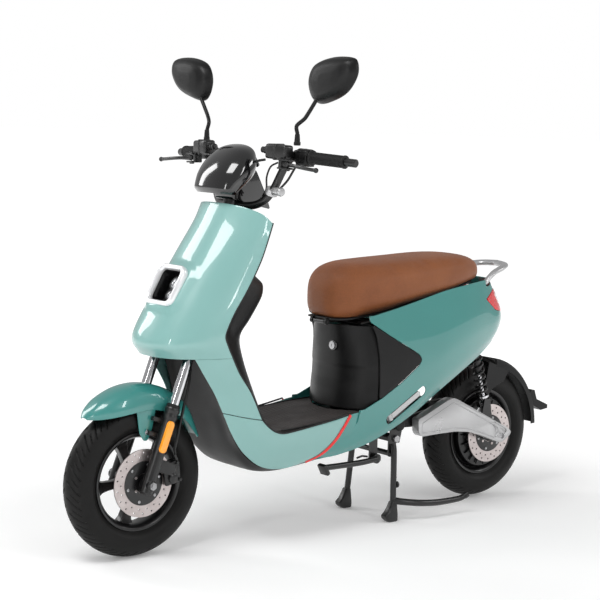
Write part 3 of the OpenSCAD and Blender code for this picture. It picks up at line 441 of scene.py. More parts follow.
def bored(profile, origin, n):
    """A turned surface round an axis across the vehicle, without end caps."""
    v, f = lathe(profile, origin, (1, 0, 0), n)
    return v, [q for q in f if len(q) == 4]


def flat(outline, z):
    """Outline points [x, y] laid at height z."""
    return np.column_stack([outline, np.full(len(outline), z)])


def upright(outline, x):
    """Outline points [y, z] stood at x."""
    return np.column_stack([np.full(len(outline), x), outline])


def rrect(hw, hh, r, n=6):
    """A rectangle with round corners in the plane, as [x, y] points."""
    out = []
    for cx, cy, a0 in ((1, 1, 0), (-1, 1, 90), (-1, -1, 180), (1, -1, 270)):
        for k in range(n + 1):
            a = math.radians(a0 + 90 * k / n)
            out.append((cx * (hw - r) + r * math.cos(a), cy * (hh - r) + r * math.sin(a)))
    return np.array(out)


def rbox(centre, size, r, turn=None):
    """A box with rounded edges, turned by turn, a 3x3."""
    bm = bmesh.new()
    bmesh.ops.create_cube(bm, size=1.0)
    for v in bm.verts:
        v.co = Vector([v.co[i] * size[i] for i in range(3)])
    offset = min(r, min(size) * 0.45)
    bmesh.ops.bevel(bm, geom=bm.edges[:], offset=offset, segments=3, profile=0.5, affect="EDGES")
    pts = np.array([v.co[:] for v in bm.verts])
    faces = [tuple(v.index for v in f.verts) for f in bm.faces]
    bm.free()
    if turn is not None:
        pts = pts @ np.asarray(turn).T
    return pts + np.asarray(centre, float), faces


def prism(outline, x0, x1):
    """A prism along X whose outline is given as [y, z] points."""
    o = np.asarray(outline, float)
    return loft([upright(o, x0), upright(o, x1)])


def rounded_outline(pts, r, n=4):
    """A closed outline with each corner rounded off by about r."""
    p = [np.asarray(q, float) for q in pts]
    out = []
    for i, b in enumerate(p):
        a, c = p[i - 1], p[(i + 1) % len(p)]
        k = min(r, 0.45 * np.linalg.norm(a - b), 0.45 * np.linalg.norm(c - b))
        s, e = b + unit(a - b) * k, b + unit(c - b) * k
        for q in range(n + 1):
            t = q / n
            out.append((1 - t) ** 2 * s + 2 * t * (1 - t) * b + t * t * e)
    return np.array(out)


def join(*parts):
    vs, fs, o = [], [], 0
    for v, f in parts:
        vs.append(np.asarray(v, float))
        fs += [tuple(i + o for i in face) for face in f]
        o += len(v)
    return np.concatenate(vs), fs


def mirrored(part):
    v, f = part
    return np.asarray(v) * np.array([-1.0, 1.0, 1.0]), [tuple(reversed(face)) for face in f]


def both(part):
    return join(part, mirrored(part))


def moved(part, matrix):
    v, f = part
    m = np.asarray(matrix)
    return np.asarray(v) @ m[:3, :3].T + m[:3, 3], f


def rot(axis, degrees):
    return np.array(Matrix.Rotation(math.radians(degrees), 4, axis))


def shift(x, y, z):
    m = np.eye(4)
    m[:3, 3] = (x, y, z)
    return m


FORK = shift(*FRONT) @ rot("X", -RAKE_DEGREES)
BAR = shift(225, -259, 1079) @ rot("Z", 9) @ rot("Y", 93)
LAMP = shift(0, -551, 728) @ rot("X", 90 - 28.6)


def on(matrix, p):
    return matrix[:3, :3] @ np.asarray(p, float) + matrix[:3, 3]


def shaded(me, degrees=40):
    me.shade_smooth()
    me.set_sharp_from_angle(angle=math.radians(degrees))


def linked(name, me):
    ob = bpy.data.objects.new(name, me)
    bpy.context.scene.collection.objects.link(ob)
    return ob


def round_edges(bm, edge, angle, segs):
    """Bevels by edge millimetres the edges that turn by more than angle degrees."""
    bm.normal_update()
    sharp = [e for e in bm.edges if len(e.link_faces) == 2 and e.calc_face_angle(0) > math.radians(angle)]
    bmesh.ops.bevel(bm, geom=sharp, offset=edge / 1000, segments=segs, profile=0.5, affect="EDGES",
                    clamp_overlap=True)


def mesh_object(name, part, edge=0.0, angle=38, segs=2):
    """A Blender object, in metres, smooth but for its sharp edges, which are rounded by edge millimetres."""
    v, f = part
    me = bpy.data.meshes.new(name)
    me.from_pydata([tuple(p) for p in row(v)], [], [list(x) for x in f])
    bm = bmesh.new()
    bm.from_mesh(me)
    bmesh.ops.remove_doubles(bm, verts=bm.verts, dist=0.00002)
    bmesh.ops.recalc_face_normals(bm, faces=bm.faces)
    if edge:
        round_edges(bm, edge, angle, segs)
    bm.to_mesh(me)
    bm.free()
    shaded(me)
    me.update()
    return linked(name, me)


def piece(name, part, material, body, replaces=()):
    """A finished piece of the visual: its mesh, material, body and the CAD nodes it stands for."""
    ob = part if isinstance(part, bpy.types.Object) else mesh_object(name, part)
    ob.data.materials.clear()
    ob.data.materials.append(MATERIALS[material])
    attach(ob, body)
    if replaces:
        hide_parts(*replaces)
    return ob


def applied(ob):
    """Replaces the mesh of an object by the result of its modifiers."""
    bpy.context.view_layer.update()
    dg = bpy.context.evaluated_depsgraph_get()
    me = bpy.data.meshes.new_from_object(ob.evaluated_get(dg))
    ob.modifiers.clear()
    ob.data = me
    return me


def boolean(ob, cutter, operation, exact_self=False):
    """Applies an exact boolean with a cutter, given in millimetres, and removes the cutter."""
    cut = mesh_object("cut", cutter)
    mod = ob.modifiers.new("cut", "BOOLEAN")
    mod.operation = operation
    mod.solver = "EXACT"
    mod.use_self = exact_self
    mod.object = cut
    applied(ob)
    bpy.data.objects.remove(cut)


def finish_edges(ob, edge, angle=42, segs=2):
    bm = bmesh.new()
    bm.from_mesh(ob.data)
    bmesh.ops.remove_doubles(bm, verts=bm.verts, dist=0.00003)
    round_edges(bm, edge, angle, segs)
    bm.to_mesh(ob.data)
    bm.free()
    shaded(ob.data)


def taken(ob):
    """The vertices and faces of an object in vehicle millimetres; the object itself is removed."""
    v = np.array([q.co[:] for q in ob.data.vertices]) * 1000 + [0, MID_Y, 0]
    f = [tuple(p.vertices) for p in ob.data.polygons]
    bpy.data.objects.remove(ob)
    return v, f


# ---------------------------------------------------------------- the object's measured rows

COWL_ROWS = [
    [[0, -396, 948], [48, -392, 947], [90, -376, 942], [120, -352, 932], [138, -330, 919], [146, -308, 898]],
    [[0, -424, 902], [48, -420, 900], [90, -400, 893], [121, -373, 882], [139, -349, 872], [148, -322, 862]],
    [[0, -472, 829], [48, -468, 828], [89, -448, 824], [120, -415, 816], [139, -384, 807], [149, -348, 798]],
    [[0, -524, 752], [47, -520, 751], [88, -501, 748], [119, -466, 741], [139, -429, 734], [150, -389, 726]],
    [[0, -576, 674], [47, -572, 673], [89, -553, 671], [120, -518, 667], [140, -477, 662], [151, -437, 656]],
    [[0, -612, 612], [47, -608, 612], [90, -588, 611], [121, -551, 609], [141, -505, 607], [151, -462, 604]],
    [[0, -625, 572], [47, -620, 572], [92, -597, 572], [122, -556, 572], [141, -506, 572], [151, -452, 572]],
    [[0, -606, 540], [47, -600, 540], [90, -574, 540], [117, -535, 540], [139, -484, 540], [151, -436, 541]]
]

ARM_ROWS = [
    [[117, -534.5, 539.5], [139, -483.5, 539.5], [151, -435.5, 540.5]],
    [[117, -508, 500], [141, -458, 496], [152, -411, 495]],
    [[120, -470, 442], [143, -420, 440], [153, -371, 440]],
    [[124, -444, 389], [146, -390, 376], [153, -331, 364]]
]

SIDE_ROWS = [
    [[124, -443, 387], [146, -389, 374], [153, -330, 362]],
    [[129, -414, 326], [149, -362, 334], [153, -308, 341]],
    [[132, -379, 276], [151, -328, 298], [153, -283, 325]],
    [[134, -330, 236], [152, -290, 273], [153, -254, 318]],
    [[135, -282, 219], [152, -245, 266], [153, -212, 321]],
    [[136, -228, 217], [152, -167, 268], [153, -111, 334]],
    [[136, -165, 228], [151, -76, 279], [151, -19, 350]]
]

REAR_ROWS = [
    [[136, -160, 226], [148, -112, 246], [152, -69, 277], [152, -38, 311], [150, -9, 347]],
    [[137, -95, 230], [148.5, -52, 252], [152.5, -10, 288], [152, 16, 325], [150.5, 43, 365]],
    [[139, -40, 234], [149, 0, 262], [153, 44, 330], [149.5, 54, 480], [137, 16, 606]],
    [[139, 60, 252], [149, 95, 290], [153, 125, 342], [150, 124, 470], [137, 92, 626]],
    [[138, 160, 285], [148, 190, 325], [152, 215, 385], [149, 212, 500], [136, 180, 643]],
    [[133, 260, 328], [144, 285, 370], [149, 305, 430], [146, 308, 530], [133, 280, 664]],
    [[125, 360, 380], [137, 380, 425], [143, 395, 485], [140, 404, 570], [127, 375, 683]],
    [[113, 460, 427], [126, 475, 470], [132, 487, 528], [129, 490, 600], [117, 465, 694]],
    [[98, 555, 471], [110, 566, 512], [115, 573, 562], [112, 569, 620], [101, 545, 701]],
    [[80, 628, 510], [90, 640, 545], [95, 644, 583], [88, 636, 630], [80, 602, 703]],
    [[46, 668, 530], [52, 683, 556], [54, 688, 588], [51, 673, 632], [46, 628, 704]],
    [[0.4, 680, 536], [0.4, 697, 562], [0.4, 702, 590], [0.4, 685, 634], [0.4, 636, 704]]
]

INNER_ROWS = [
    [[0, -300, 908], [50, -302, 906], [95, -305, 902], [125, -307, 896], [141, -309, 891]],
    [[0, -300, 860], [50, -304, 860], [95, -312, 860], [125, -318, 860], [143, -323, 860]],
    [[0, -318, 775], [50, -322, 775], [95, -338, 775], [125, -352, 775], [144, -361, 775]],
    [[0, -268, 728], [50, -270, 728], [88, -292, 728], [122, -366, 733], [145, -385, 733]],
    [[0, -262, 690], [50, -265, 690], [86, -298, 690], [122, -384, 694], [146, -411, 696]],
    [[0, -300, 628], [50, -306, 628], [88, -340, 628], [124, -424, 628], [146, -451, 628]],
    [[0, -330, 585], [50, -338, 585], [92, -372, 585], [126, -424, 585], [146, -456, 585]],
    [[0, -322, 530], [50, -330, 530], [94, -360, 530], [127, -400, 530], [146, -430, 530]],
    [[0, -300, 450], [50, -306, 450], [95, -326, 450], [128, -356, 450], [147, -378, 450]],
    [[0, -278, 385], [50, -282, 385], [96, -298, 385], [129, -322, 385], [148, -341, 385]],
    [[0, -262, 345], [50, -265, 345], [96, -280, 345], [129, -296, 345], [148, -311, 345]]
]

BELLY_ROWS = [
    [[0, -446, 533], [45, -450, 533], [85, -460, 533], [112, -478, 531]],
    [[0, -428, 455], [45, -431, 455], [85, -439, 455], [114, -454, 455]],
    [[0, -414, 380], [45, -416, 380], [85, -420, 380], [118, -430, 380]],
    [[0, -396, 310], [45, -397, 309], [90, -398, 309], [124, -404, 312]],
    [[0, -368, 250], [48, -368, 250], [95, -367, 252], [128, -366, 262]],
    [[0, -318, 210], [50, -318, 210], [98, -317, 213], [130, -314, 228]],
    [[0, -235, 200], [50, -235, 200], [100, -235, 204], [131, -234, 217]],
    [[0, -110, 212], [50, -110, 212], [100, -110, 216], [132, -110, 230]],
    [[0, 60, 236], [50, 60, 236], [100, 60, 240], [132, 60, 252]]
]

UNDER_ROWS = [[592, 16, 100, 131], [560, 20, 100, 135], [500, 27, 99, 142], [430, 27, 98, 145],
    [350, 23, 97, 146]]

COVER_OUTLINE = [
    [72, 600], [90, 560], [98, 500], [98, 420], [97, 386], [107, 387], [183, 427], [256, 475],
    [264, 486], [254, 501], [137, 564]
]

PANEL_OUTLINE = [
    [-180, 200], [760, 200], [760, 602], [652, 602], [618, 608], [566, 646], [620, 673], [760, 673],
    [760, 720], [618, 720], [618, 688], [576, 680], [576, 720], [60, 720], [66, 608], [138, 566],
    [256, 503], [267, 486], [258, 472], [185, 424], [108, 384], [44, 373], [-180, 373]
]

LAMP_OUTLINE = [[566, 646], [620, 673], [760, 673], [760, 602], [652, 602], [618, 608]]

SEAT_RINGS = [[-30, 26, 648, 690], [-24, 48, 628, 713], [-8, 74, 614, 742], [35, 104, 613, 762],
    [100, 122, 621, 770], [180, 131, 635, 774], [280, 133, 655, 778], [400, 131, 677, 783],
    [480, 118, 692, 782], [540, 93, 701, 774], [575, 66, 704, 759], [594, 40, 706, 738], [601, 17, 708, 724]]

FENDER_ROWS = [[131, 243, 14, 236], [126, 249, 36, 222], [117, 255, 53, 207], [104, 260, 60, 197],
    [92, 263, 57, 195], [80, 262, 54, 197], [66, 258, 53, 200], [50, 249, 50, 208], [28, 228, 30, 216]]

MIRROR_OUTLINE = [[-62, -60], [-92, -10], [-70, 40], [0, 60], [80, 56], [92, 18], [60, -26], [5, -52]]

# ---------------------------------------------------------------- stage, camera and lights

EYE = (3.6675, -3.1711, 1.2085)
YAW = math.radians(-50.33)
PITCH = math.radians(-6.52)
ROLL = math.radians(1.72)


def camera():
    """The photograph's viewpoint, fitted to the wheels, fork and mirrors."""
    ahead = np.array([math.cos(PITCH) * math.sin(YAW), math.cos(PITCH) * math.cos(YAW), math.sin(PITCH)])
    level = np.array([math.cos(YAW), -math.sin(YAW), 0.0])
    over = np.cross(level, ahead)
    right = math.cos(ROLL) * level + math.sin(ROLL) * over
    up = -math.sin(ROLL) * level + math.cos(ROLL) * over
    data = bpy.data.cameras.new("camera")
    data.sensor_width = 36.0
    data.lens = 100.6
    data.clip_end = 200.0
    cam = linked("camera", data)
    cam.matrix_world = Matrix([(right[k], up[k], -ahead[k], EYE[k]) for k in range(3)] + [(0, 0, 0, 1)])
    bpy.context.scene.camera = cam


def area(name, at, target, size, power):
    data = bpy.data.lights.new(name, "AREA")
    data.shape = "RECTANGLE"
    data.size, data.size_y = size
    data.energy = power
    ob = linked(name, data)
    ob.location = at
    ob.rotation_euler = (Vector(target) - Vector(at)).to_track_quat("-Z", "Y").to_euler()


FLOOR_HALF = 60.0


def pale_floor():
    """A floor that fades into the white surround away from the vehicle."""
    m, nt, b = new_mat("pale_floor")
    n = tex(nt, "ShaderNodeTexNoise", 3.0, 3.0)
    nt.links.new(ramp(nt, n.outputs["Fac"], [(0.3, (0.93, 0.93, 0.93)), (0.7, (0.95, 0.95, 0.95))]),
                 b.inputs["Base Color"])
    b.inputs["Roughness"].default_value = 0.85
    b.inputs["Specular IOR Level"].default_value = 0.1
    away = node(nt, "ShaderNodeVectorMath", operation="LENGTH")
    nt.links.new(coords(nt), away.inputs[0])
    b.inputs["Emission Color"].default_value = (1, 1, 1, 1)
    glow = spread(nt, away.outputs["Value"], 0.14, 0.66, 0.9, 3.2)
    nt.links.new(glow, b.inputs["Emission Strength"])
    return m


def studio():
    """A white surround that lights the vehicle less strongly than it shows."""
    world = bpy.data.worlds.new("studio")
    world.use_nodes = True
    nt = world.node_tree
    seen = nt.nodes.new("ShaderNodeLightPath").outputs["Is Camera Ray"]
    background = nt.nodes["Background"]
    background.inputs["Color"].default_value = (1, 1, 1, 1)
    nt.links.new(spread(nt, seen, 0.42, 1.0, 0.0, 1.0), background.inputs["Strength"])
    bpy.context.scene.world = world
    bpy.context.scene.view_settings.view_transform = "Standard"


LIGHTS = [
    ("key", (0.6, -2.6, 4.2), (0, 0, 0.4), (2.2, 1.4), 92),
    ("corner_strip", (1.5, -4.6, 1.5), (0, -0.4, 0.7), (0.20, 1.7), 22),
    ("side_strip", (4.4, 0.5, 2.6), (0, 0.3, 0.5), (0.40, 2.2), 34),
    ("rear_strip", (2.4, 3.6, 2.6), (0, 0.4, 0.6), (1.8, 0.6), 30),
    ("left_strip", (-3.4, -2.0, 2.6), (0, -0.2, 0.6), (0.8, 2.2), 34),
]


def stage():
    me = bpy.data.meshes.new("floor")
    s = FLOOR_HALF
    me.from_pydata([(-s, -s, 0), (s, -s, 0), (s, s, 0), (-s, s, 0)], [], [(0, 1, 2, 3)])
    me.materials.append(pale_floor())
    floor = linked("floor", me)
    studio()
    for light in LIGHTS:
        area(*light)


camera()
stage()

# ---------------------------------------------------------------- body panels

REAR_GRID = relax(patch(REAR_ROWS, 10, 10), 6)


def lamp_distance(g):
    """How far outside the headlight's opening the points of a grid lie, and the points in its frame."""
    inv = np.linalg.inv(LAMP)
    q = g @ inv[:3, :3].T + inv[:3, 3]
    d = np.maximum(np.abs(q[..., :2]) - 38.0, 0.0)
    return np.linalg.norm(d, axis=-1) - 21.0, q


def cowl():
    g = relax(patch([whole(r) for r in COWL_ROWS], 12, 10), 8)
    d, q = lamp_distance(g)
    lift = np.where(q[..., 2] > -90, np.clip(1 - d / 26.0, 0, 1), 0)
    lift = lift * lift * (3 - 2 * lift)
    g = g + (lift * 7.5)[..., None] * LAMP[:3, 2]
    ob = mesh_object("cowl", sheet(g, 3.0))
    hole = rrect(57.0, 57.0, 20.0)
    boolean(ob, moved(loft([flat(hole, z) for z in (-70, 60)]), LAMP), "DIFFERENCE")
    finish_edges(ob, 1.2)
    arm = relax(patch(ARM_ROWS, 14, 14), 4)
    arms = mesh_object("arms", both(sheet(arm, 3.0)), 1.2, 42)
    ob = joined("cowl_shell", ob, arms)
    piece("cowl_shell", ob, "mint", "chassis", ["front_cowl"])


def joined(name, *obs):
    bm = bmesh.new()
    for o in obs:
        bm.from_mesh(o.data)
    me = bpy.data.meshes.new(name)
    bm.to_mesh(me)
    bm.free()
    for o in obs:
        bpy.data.objects.remove(o)
    shaded(me)
    return linked(name, me)


def trimmed(name, outline, thickness, lift, edge, radius, minus=None, x0=40.0):
    """The rear skin cut to an outline in [y, z], its cut edges rounded, on both sides."""
    ob = mesh_object(name, sheet(REAR_GRID + lift * normals(REAR_GRID), thickness))
    line = rounded_outline(outline, radius)
    boolean(ob, prism(line, x0, 210.0), "INTERSECT", True)
    if minus is not None:
        boolean(ob, minus, "DIFFERENCE")
    finish_edges(ob, edge)
    return mesh_object(name, both(taken(ob)))


PEG = shift(139, 152, 325) @ rot("X", 29.2)


def peg_slot():
    outline = rrect(88.0, 14.0, 13.0) + [64.0, 0.0]
    return moved(prism(outline, -60.0, 60.0), PEG)


def rear_body():
    outline = PANEL_OUTLINE[:-2] + [[44, 358], [-180, 354]]
    ob = trimmed("rear_panel_shells", outline, 3.0, 0.0, 1.2, 7.0, peg_slot(), x0=-5.0)
    piece("rear_panel_shells", ob, "teal", "chassis", ["rear_panels"])
    ob = trimmed("side_cover_shells", COVER_OUTLINE, 4.5, 1.5, 1.6, 12.0)
    piece("side_cover_shells", ob, "plastic", "chassis", ["side_covers"])
    lens = [(y + (4 if y < 600 else 0), z + (-1.5 if z > 640 else 1.5)) for y, z in LAMP_OUTLINE]
    ob = trimmed("tail_lens", lens, 6.0, 1.5, 1.6, 6.0, x0=-1.0)
    piece("tail_lens", ob, "tail", "chassis", ["tail_light"])
    inner = [(622, 654), (632, 662), (760, 662), (760, 634), (640, 628)]
    ob = trimmed("tail_lens_clear", inner, 4.0, 2.6, 1.0, 4.0, x0=-1.0)
    piece("tail_lens_clear", ob, "tail_white", "chassis")


def resampled(path, n):
    """The same path in n points, evenly spread along its length."""
    d = np.concatenate([[0], np.cumsum(np.linalg.norm(np.diff(path, axis=0), axis=1))])
    at = np.linspace(0, d[-1], n)
    return np.column_stack([np.interp(at, d, path[:, k]) for k in range(3)])


def floor_sides():
    g = relax(patch(SIDE_ROWS, 12, 12), 5)
    seam = resampled(REAR_GRID[0], g.shape[1])
    if np.linalg.norm(seam[0] - g[-1][0]) > np.linalg.norm(seam[0] - g[-1][-1]):
        seam = seam[::-1]
    reach = max(4, g.shape[0] // 3)
    step = seam - g[-1]
    for k in range(reach):
        t = (k + 1) / reach
        g[-reach + k] += step * (t * t * (3 - 2 * t))
    ob = mesh_object("floor_side_shells", both(sheet(g, 3.0)), 1.2, 42)
    piece("floor_side_shells", ob, "mint", "chassis", ["floor_side_panels"])
    n = normals(REAR_GRID)[0]
    path = REAR_GRID[0]
    t = np.gradient(path, axis=0)
    w = np.array([unit(np.cross(a, b)) for a, b in zip(n, t)])
    if w[5][1] < 0:
        w = -w
    rows = [path + n * 1.2 + w * k for k in (-4.5, -2, 0, 2, 4.5)]
    ob = mesh_object("red_stripes", both(sheet(np.array(rows), -1.2)), 0.3)
    piece("red_stripes", ob, "stripe", "chassis")


def edge_trims():
    line = [r[-1] for r in COWL_ROWS + ARM_ROWS[1:] + SIDE_ROWS[1:]]
    path = smooth(line, 8) + [-1.6, 2.4, 1.0]
    piece("edge_trims", both(tube(path, 2.6, 12)), "trim", "chassis")
    side = ((-252, 326), (-180, 329), (-100, 335), (-10, 343), (96, 347.5))
    path = smooth([[141.5, y, z] for y, z in side], 8)
    piece("mat_edges", both(tube(path, 2.4, 10)), "trim", "chassis")


def inner_panels():
    for name, rows, times, thickness, node_name in (("inner_shield", INNER_ROWS, 5, -3.0, "inner_leg_shield"),
                                                    ("belly_shell", BELLY_ROWS, 4, 3.0, "belly_pan")):
        g = relax(patch([whole(r) for r in rows], 8, 8), times)
        piece(name, mesh_object(name, sheet(g, thickness), 1.0, 42), "plastic", "chassis", [node_name])
    section = ((0, 0), (0.36, 0.08), (0.68, 0.36), (0.88, 0.66), (1, 1))
    rows = [whole([[x * half, front + back * (rear - front), z] for x, back in section])
            for z, front, rear, half in UNDER_ROWS]
    g = relax(patch(rows, 18, 10), 3)
    # a shallow moulded step runs across the panel below the lock
    z = g[..., 2]
    g[..., 1] += 2.2 / (1 + np.exp((z - 472.0) / 2.0)) * np.clip((z - 400) / 30, 0, 1)
    ob = mesh_object("under_seat_shell", sheet(g, 3.0))
    boolean(ob, lathe([(0, 12), (90, 12)], (26, 80, 530), (0, -1, 0)), "DIFFERENCE")
    finish_edges(ob, 0.8)
    piece("under_seat_shell", ob, "plastic", "chassis", ["under_seat_panel"])
    ring = lathe([(0, 12.2), (2, 15.5), (4.5, 15.5), (6, 14.5), (6, 12.2)], (26, 27, 530), (0.12, -1, 0))
    piece("lock_surround", ring, "gloss", "chassis")


def floor_mat():
    half = [0, 60, 110, 141]
    rows = [whole([[x, s[0] + s[2] * x * x, 330 + s[1] + x * x / 9000] for x in half])
            for s in ((-256, -6, -1 / 700), (-180, -3, 0), (-100, 3, 0), (-30, 10, 0.001), (10, 14, 0.0044))]
    g = patch(rows, 34, 16)
    x, y = g[..., 0], g[..., 1]
    w = y + 5.0 * np.sin(x / 14.0) + 3.0 * np.sin(x / 31.0 + 1.0)
    groove = np.abs((w / 13.0) % 1.0 - 0.5) * 13.0
    inside = np.clip((132 - np.abs(x)) / 3.0, 0, 1) * np.clip((y + 246 - x * x / 3000) / 4, 0, 1)
    g[..., 2] += 0.2 + inside * 1.3 * np.clip((groove - 1.2) / 1.6, 0, 1)
    piece("mat_surface", sheet(g, -8.0), "mat", "chassis", ["floor_mat"])
    piece("floor_sill", rbox((0, 42, 334), (210, 96, 6), 2), "plastic", "chassis")


def headlight():
    def rings(spec):
        return moved(loft([flat(rrect(h, h, r), z) for h, r, z in spec], cap=False), LAMP)

    spec = [(54, 19, -16), (58.5, 21.5, -10), (59.5, 22, -2), (59.3, 22, 4), (58, 21, 7.2), (55.5, 20, 9),
            (52.5, 18.5, 9.2), (49.5, 17, 8), (47, 15.5, 5), (45.6, 14.5, 0), (45.2, 14, -14),
            (46, 14.5, -16)]
    piece("bezel_ring", rings(spec + [spec[0]]), "bezel", "chassis", ["headlight_bezel"])
    bowl = [(46.2, 14.5, -4), (45, 14, -5), (43, 13.5, -16), (40, 12.5, -26), (39, 12, -38), (20, 8, -42),
            (4, 2, -43)]
    v, f = rings(bowl)
    f = f + [tuple(range(len(v) - 28, len(v)))]
    piece("lamp_bowl", (v, f), "reflector_bowl", "chassis", ["headlight_housing"])
    parts, rims = [], []
    for cx, cy, r in ((8, 15, 17.5), (6, -19, 13.0)):
        dome = [(0, r)] + [(r * 0.55 * math.sin(math.radians(a)), r * math.cos(math.radians(a))) for a in
                           range(10, 90, 10)] + [(r * 0.55, 0)]
        parts.append(moved(lathe(dome, (cx, cy, -22), (0, 0, 1), 40), LAMP))
        rims.append(moved(lathe([(-16, r), (0, r), (2.5, r + 2.6), (4, r + 2.2), (3, r + 0.2), (0, r - 0.4)],
                                (cx, cy, -22), (0, 0, 1), 40), LAMP))
    piece("lamp_lenses", join(*parts), "glass", "chassis", ["headlight_lenses"])
    piece("lamp_rims", join(*rims), "black_metal", "chassis")


cowl()
rear_body()
floor_sides()
edge_trims()
inner_panels()
floor_mat()
headlight()

# ---------------------------------------------------------------- wheels

CHEVRONS = 30
TYRE_STEPS = 720
GROOVE_DEPTH = 3.6


def tyre(name, centre, body, cad_node):
    """A tyre whose curved chevron grooves are real hollows in its tread."""
    half = 45.0
    prof = smooth([[134, 0, -30], [150, 0, -half + 2], [168, 0, -half], [190, 0, -half + 8], [203, 0, -20],
                   [208, 0, 0],
                   [203, 0, 20], [190, 0, half - 8], [168, 0, half], [150, 0, half - 2], [134, 0, 30]], 9)
    r, x = prof[:, 0], prof[:, 2]
    ridge = 0.7 * np.exp(-((r - 176) / 1.4) ** 2) + 0.7 * np.exp(-((r - 148) / 1.6) ** 2)
    pitch = 2 * math.pi * 206 / CHEVRONS
    side = np.sign(x)
    ax = np.abs(x)
    curve = (ax / 38.0) ** 1.35 * 0.9

    def groove(u, inner, outer, half_width, bank):
        """1 in a groove, 0 outside it, between two distances from the tyre's middle."""
        d = np.abs((u - curve + 0.5 * (side < 0)) % 1.0 - 0.5) * pitch
        zone = np.clip((ax - inner) / 1.5, 0, 1) * np.clip((outer - ax) / 2.0, 0, 1) * (r > 178)
        return zone * np.clip((half_width - d) / bank, 0, 1)

    rings = []
    for a in np.arange(TYRE_STEPS) * 2 * math.pi / TYRE_STEPS:
        u = a / (2 * math.pi) * CHEVRONS
        dip = GROOVE_DEPTH * np.maximum(groove(u, 2.5, 39.0, 3.0, 1.3), groove(u + 0.5, 17.0, 36.0, 2.4, 1.2))
        rr = r + ridge - dip
        rings.append(np.column_stack([x, rr * math.cos(a), rr * math.sin(a)]) + centre)
    rings.append(rings[0])
    outside = loft(rings, closed=False, cap=False)
    inside = [(-30, 134), (-36, 150), (-30, 190), (0, 199), (30, 190), (36, 150), (30, 134)]
    piece(name, join(outside, bored(inside, centre, 96)), "tyre", body, [cad_node])


def barrel(centre):
    prof = [(-33, 133.6), (-33, 128), (-31.5, 126), (-28, 122), (-18, 117), (-10, 115.5), (10, 115.5),
            (18, 117),
            (28, 122), (31.5, 126), (33, 128), (33, 133.6), (26, 134.5), (20, 129), (-20, 129), (-26, 134.5)]
    return bored(prof + [prof[0]], centre, 128)


def spoke(angle):
    rings = []
    for s, w, t in ((22, 17, 30), (40, 12, 27), (62, 11, 24), (84, 12, 24), (102, 15, 27), (114, 21, 34),
                    (119, 27, 40)):
        rings.append(flat(rrect(t / 2, w, min(t, w) * 0.28, 4), s))
    return moved(loft(rings), rot("X", angle))


def front_wheel():
    tyre("front_tyre_treaded", FRONT, "front_wheel", "front_tyre")
    spokes = join(*[moved(spoke(95 + 72 * k), shift(*FRONT)) for k in range(5)])
    hub = lathe([(-40, 8), (-40, 22), (-38, 30), (-30, 34), (30, 34), (44, 33), (48.8, 31), (48.8, 8)], FRONT,
                (1, 0, 0), 64)
    piece("front_wheel_cast", join(barrel(FRONT), spokes, hub), "cast_black", "front_wheel", ["front_rim"])


def disc_carrier(name, face, centre, hub_r, outer, body):
    """The black carrier that holds a brake disc's ring, with its six bolts."""
    profile = [(0, hub_r), (0, outer), (0.9, outer), (1.3, outer - 1), (1.3, hub_r), (0, hub_r)]
    piece(name, bored(profile, (face, centre[1], centre[2]), 96), "cast_black", body)
    bolts = []
    for k in range(6):
        a = math.radians(60 * k + 15)
        at = (face + 1.2, centre[1] + (outer - 9) * math.cos(a), centre[2] + (outer - 9) * math.sin(a))
        bolts.append(lathe([(0, 4.2), (1.0, 4.2), (1.6, 3.2), (1.6, 0)], at, (1, 0, 0), 20))
    piece(name + "_bolts", join(*bolts), "zinc", body)


def hub_fins():
    parts = []
    for k in range(20):
        a = 360 / 20 * k
        parts.append(moved(rbox((-45.5, 0, 86), (6, 3.2, 34), 1.2), shift(*REAR) @ rot("X", a)))
        parts.append(moved(rbox((45.5, 0, 90), (6, 3.2, 26), 1.2), shift(*REAR) @ rot("X", a)))
    for k in range(8):
        a = math.radians(22.5 + 45 * k)
        c = REAR + np.array([-52, 48 * math.cos(a), 48 * math.sin(a)])
        parts.append(lathe([(0, 5), (2.5, 5), (3.6, 4)], c, (-1, 0, 0), 6))
    return join(*parts)


def rear_wheel():
    tyre("rear_tyre_treaded", REAR, "rear_wheel", "rear_tyre")
    prof = [(-52.5, 8.2), (-52.5, 58), (-51, 61), (-44, 68), (-42.5, 72), (-41, 104), (-38, 108), (-16, 109),
            (-9, 116), (9, 116), (16, 109), (38, 108), (41, 104), (42.5, 72), (46, 67), (61, 62), (62.3, 59),
            (62.3, 8.2)]
    piece("hub_motor_cast", join(barrel(REAR), lathe(prof, REAR, (1, 0, 0), 96), hub_fins()), "cast_black",
          "rear_wheel", ["hub_motor"])


def fender():
    rows = []
    for degrees, crown, half, rim in FENDER_ROWS:
        turn = math.radians(degrees)
        r = []
        for x, rise in ((0, 1), (0.5, 0.94), (0.84, 0.68), (0.98, 0.32), (1, 0)):
            rad = rim + (crown - rim) * rise
            r.append([x * half, -648 + rad * math.cos(turn), 208 + rad * math.sin(turn)])
        rows.append(whole(r))
    g = relax(patch(rows, 10, 8), 8)
    ears = rounded_outline([(-680, 412), (-672, 398), (-664, 345), (-650, 322), (-638, 322), (-624, 352),
                            (-612, 412)],
                           8)
    ob = mesh_object("fender_shell", sheet(g, -3.0), 1.2, 42)
    ear = mesh_object("ears", both(prism(ears, 50.5, 53.4)), 0.6)
    piece("fender_shell", joined("fender_shell", ob, ear), "teal", "fork", ["front_fender"])
    bolt = [(0, 7), (1.5, 7), (2.5, 6), (2.5, 4.5), (5, 4.5), (5.8, 3.8)]
    parts = [lathe(bolt, (53.6, y, z), (1, 0, 0), 24) for y, z in ((-621, 380), (-640, 345))]
    piece("fender_bolts", both(join(*parts)), "zinc", "fork")


front_wheel()
rear_wheel()
fender()

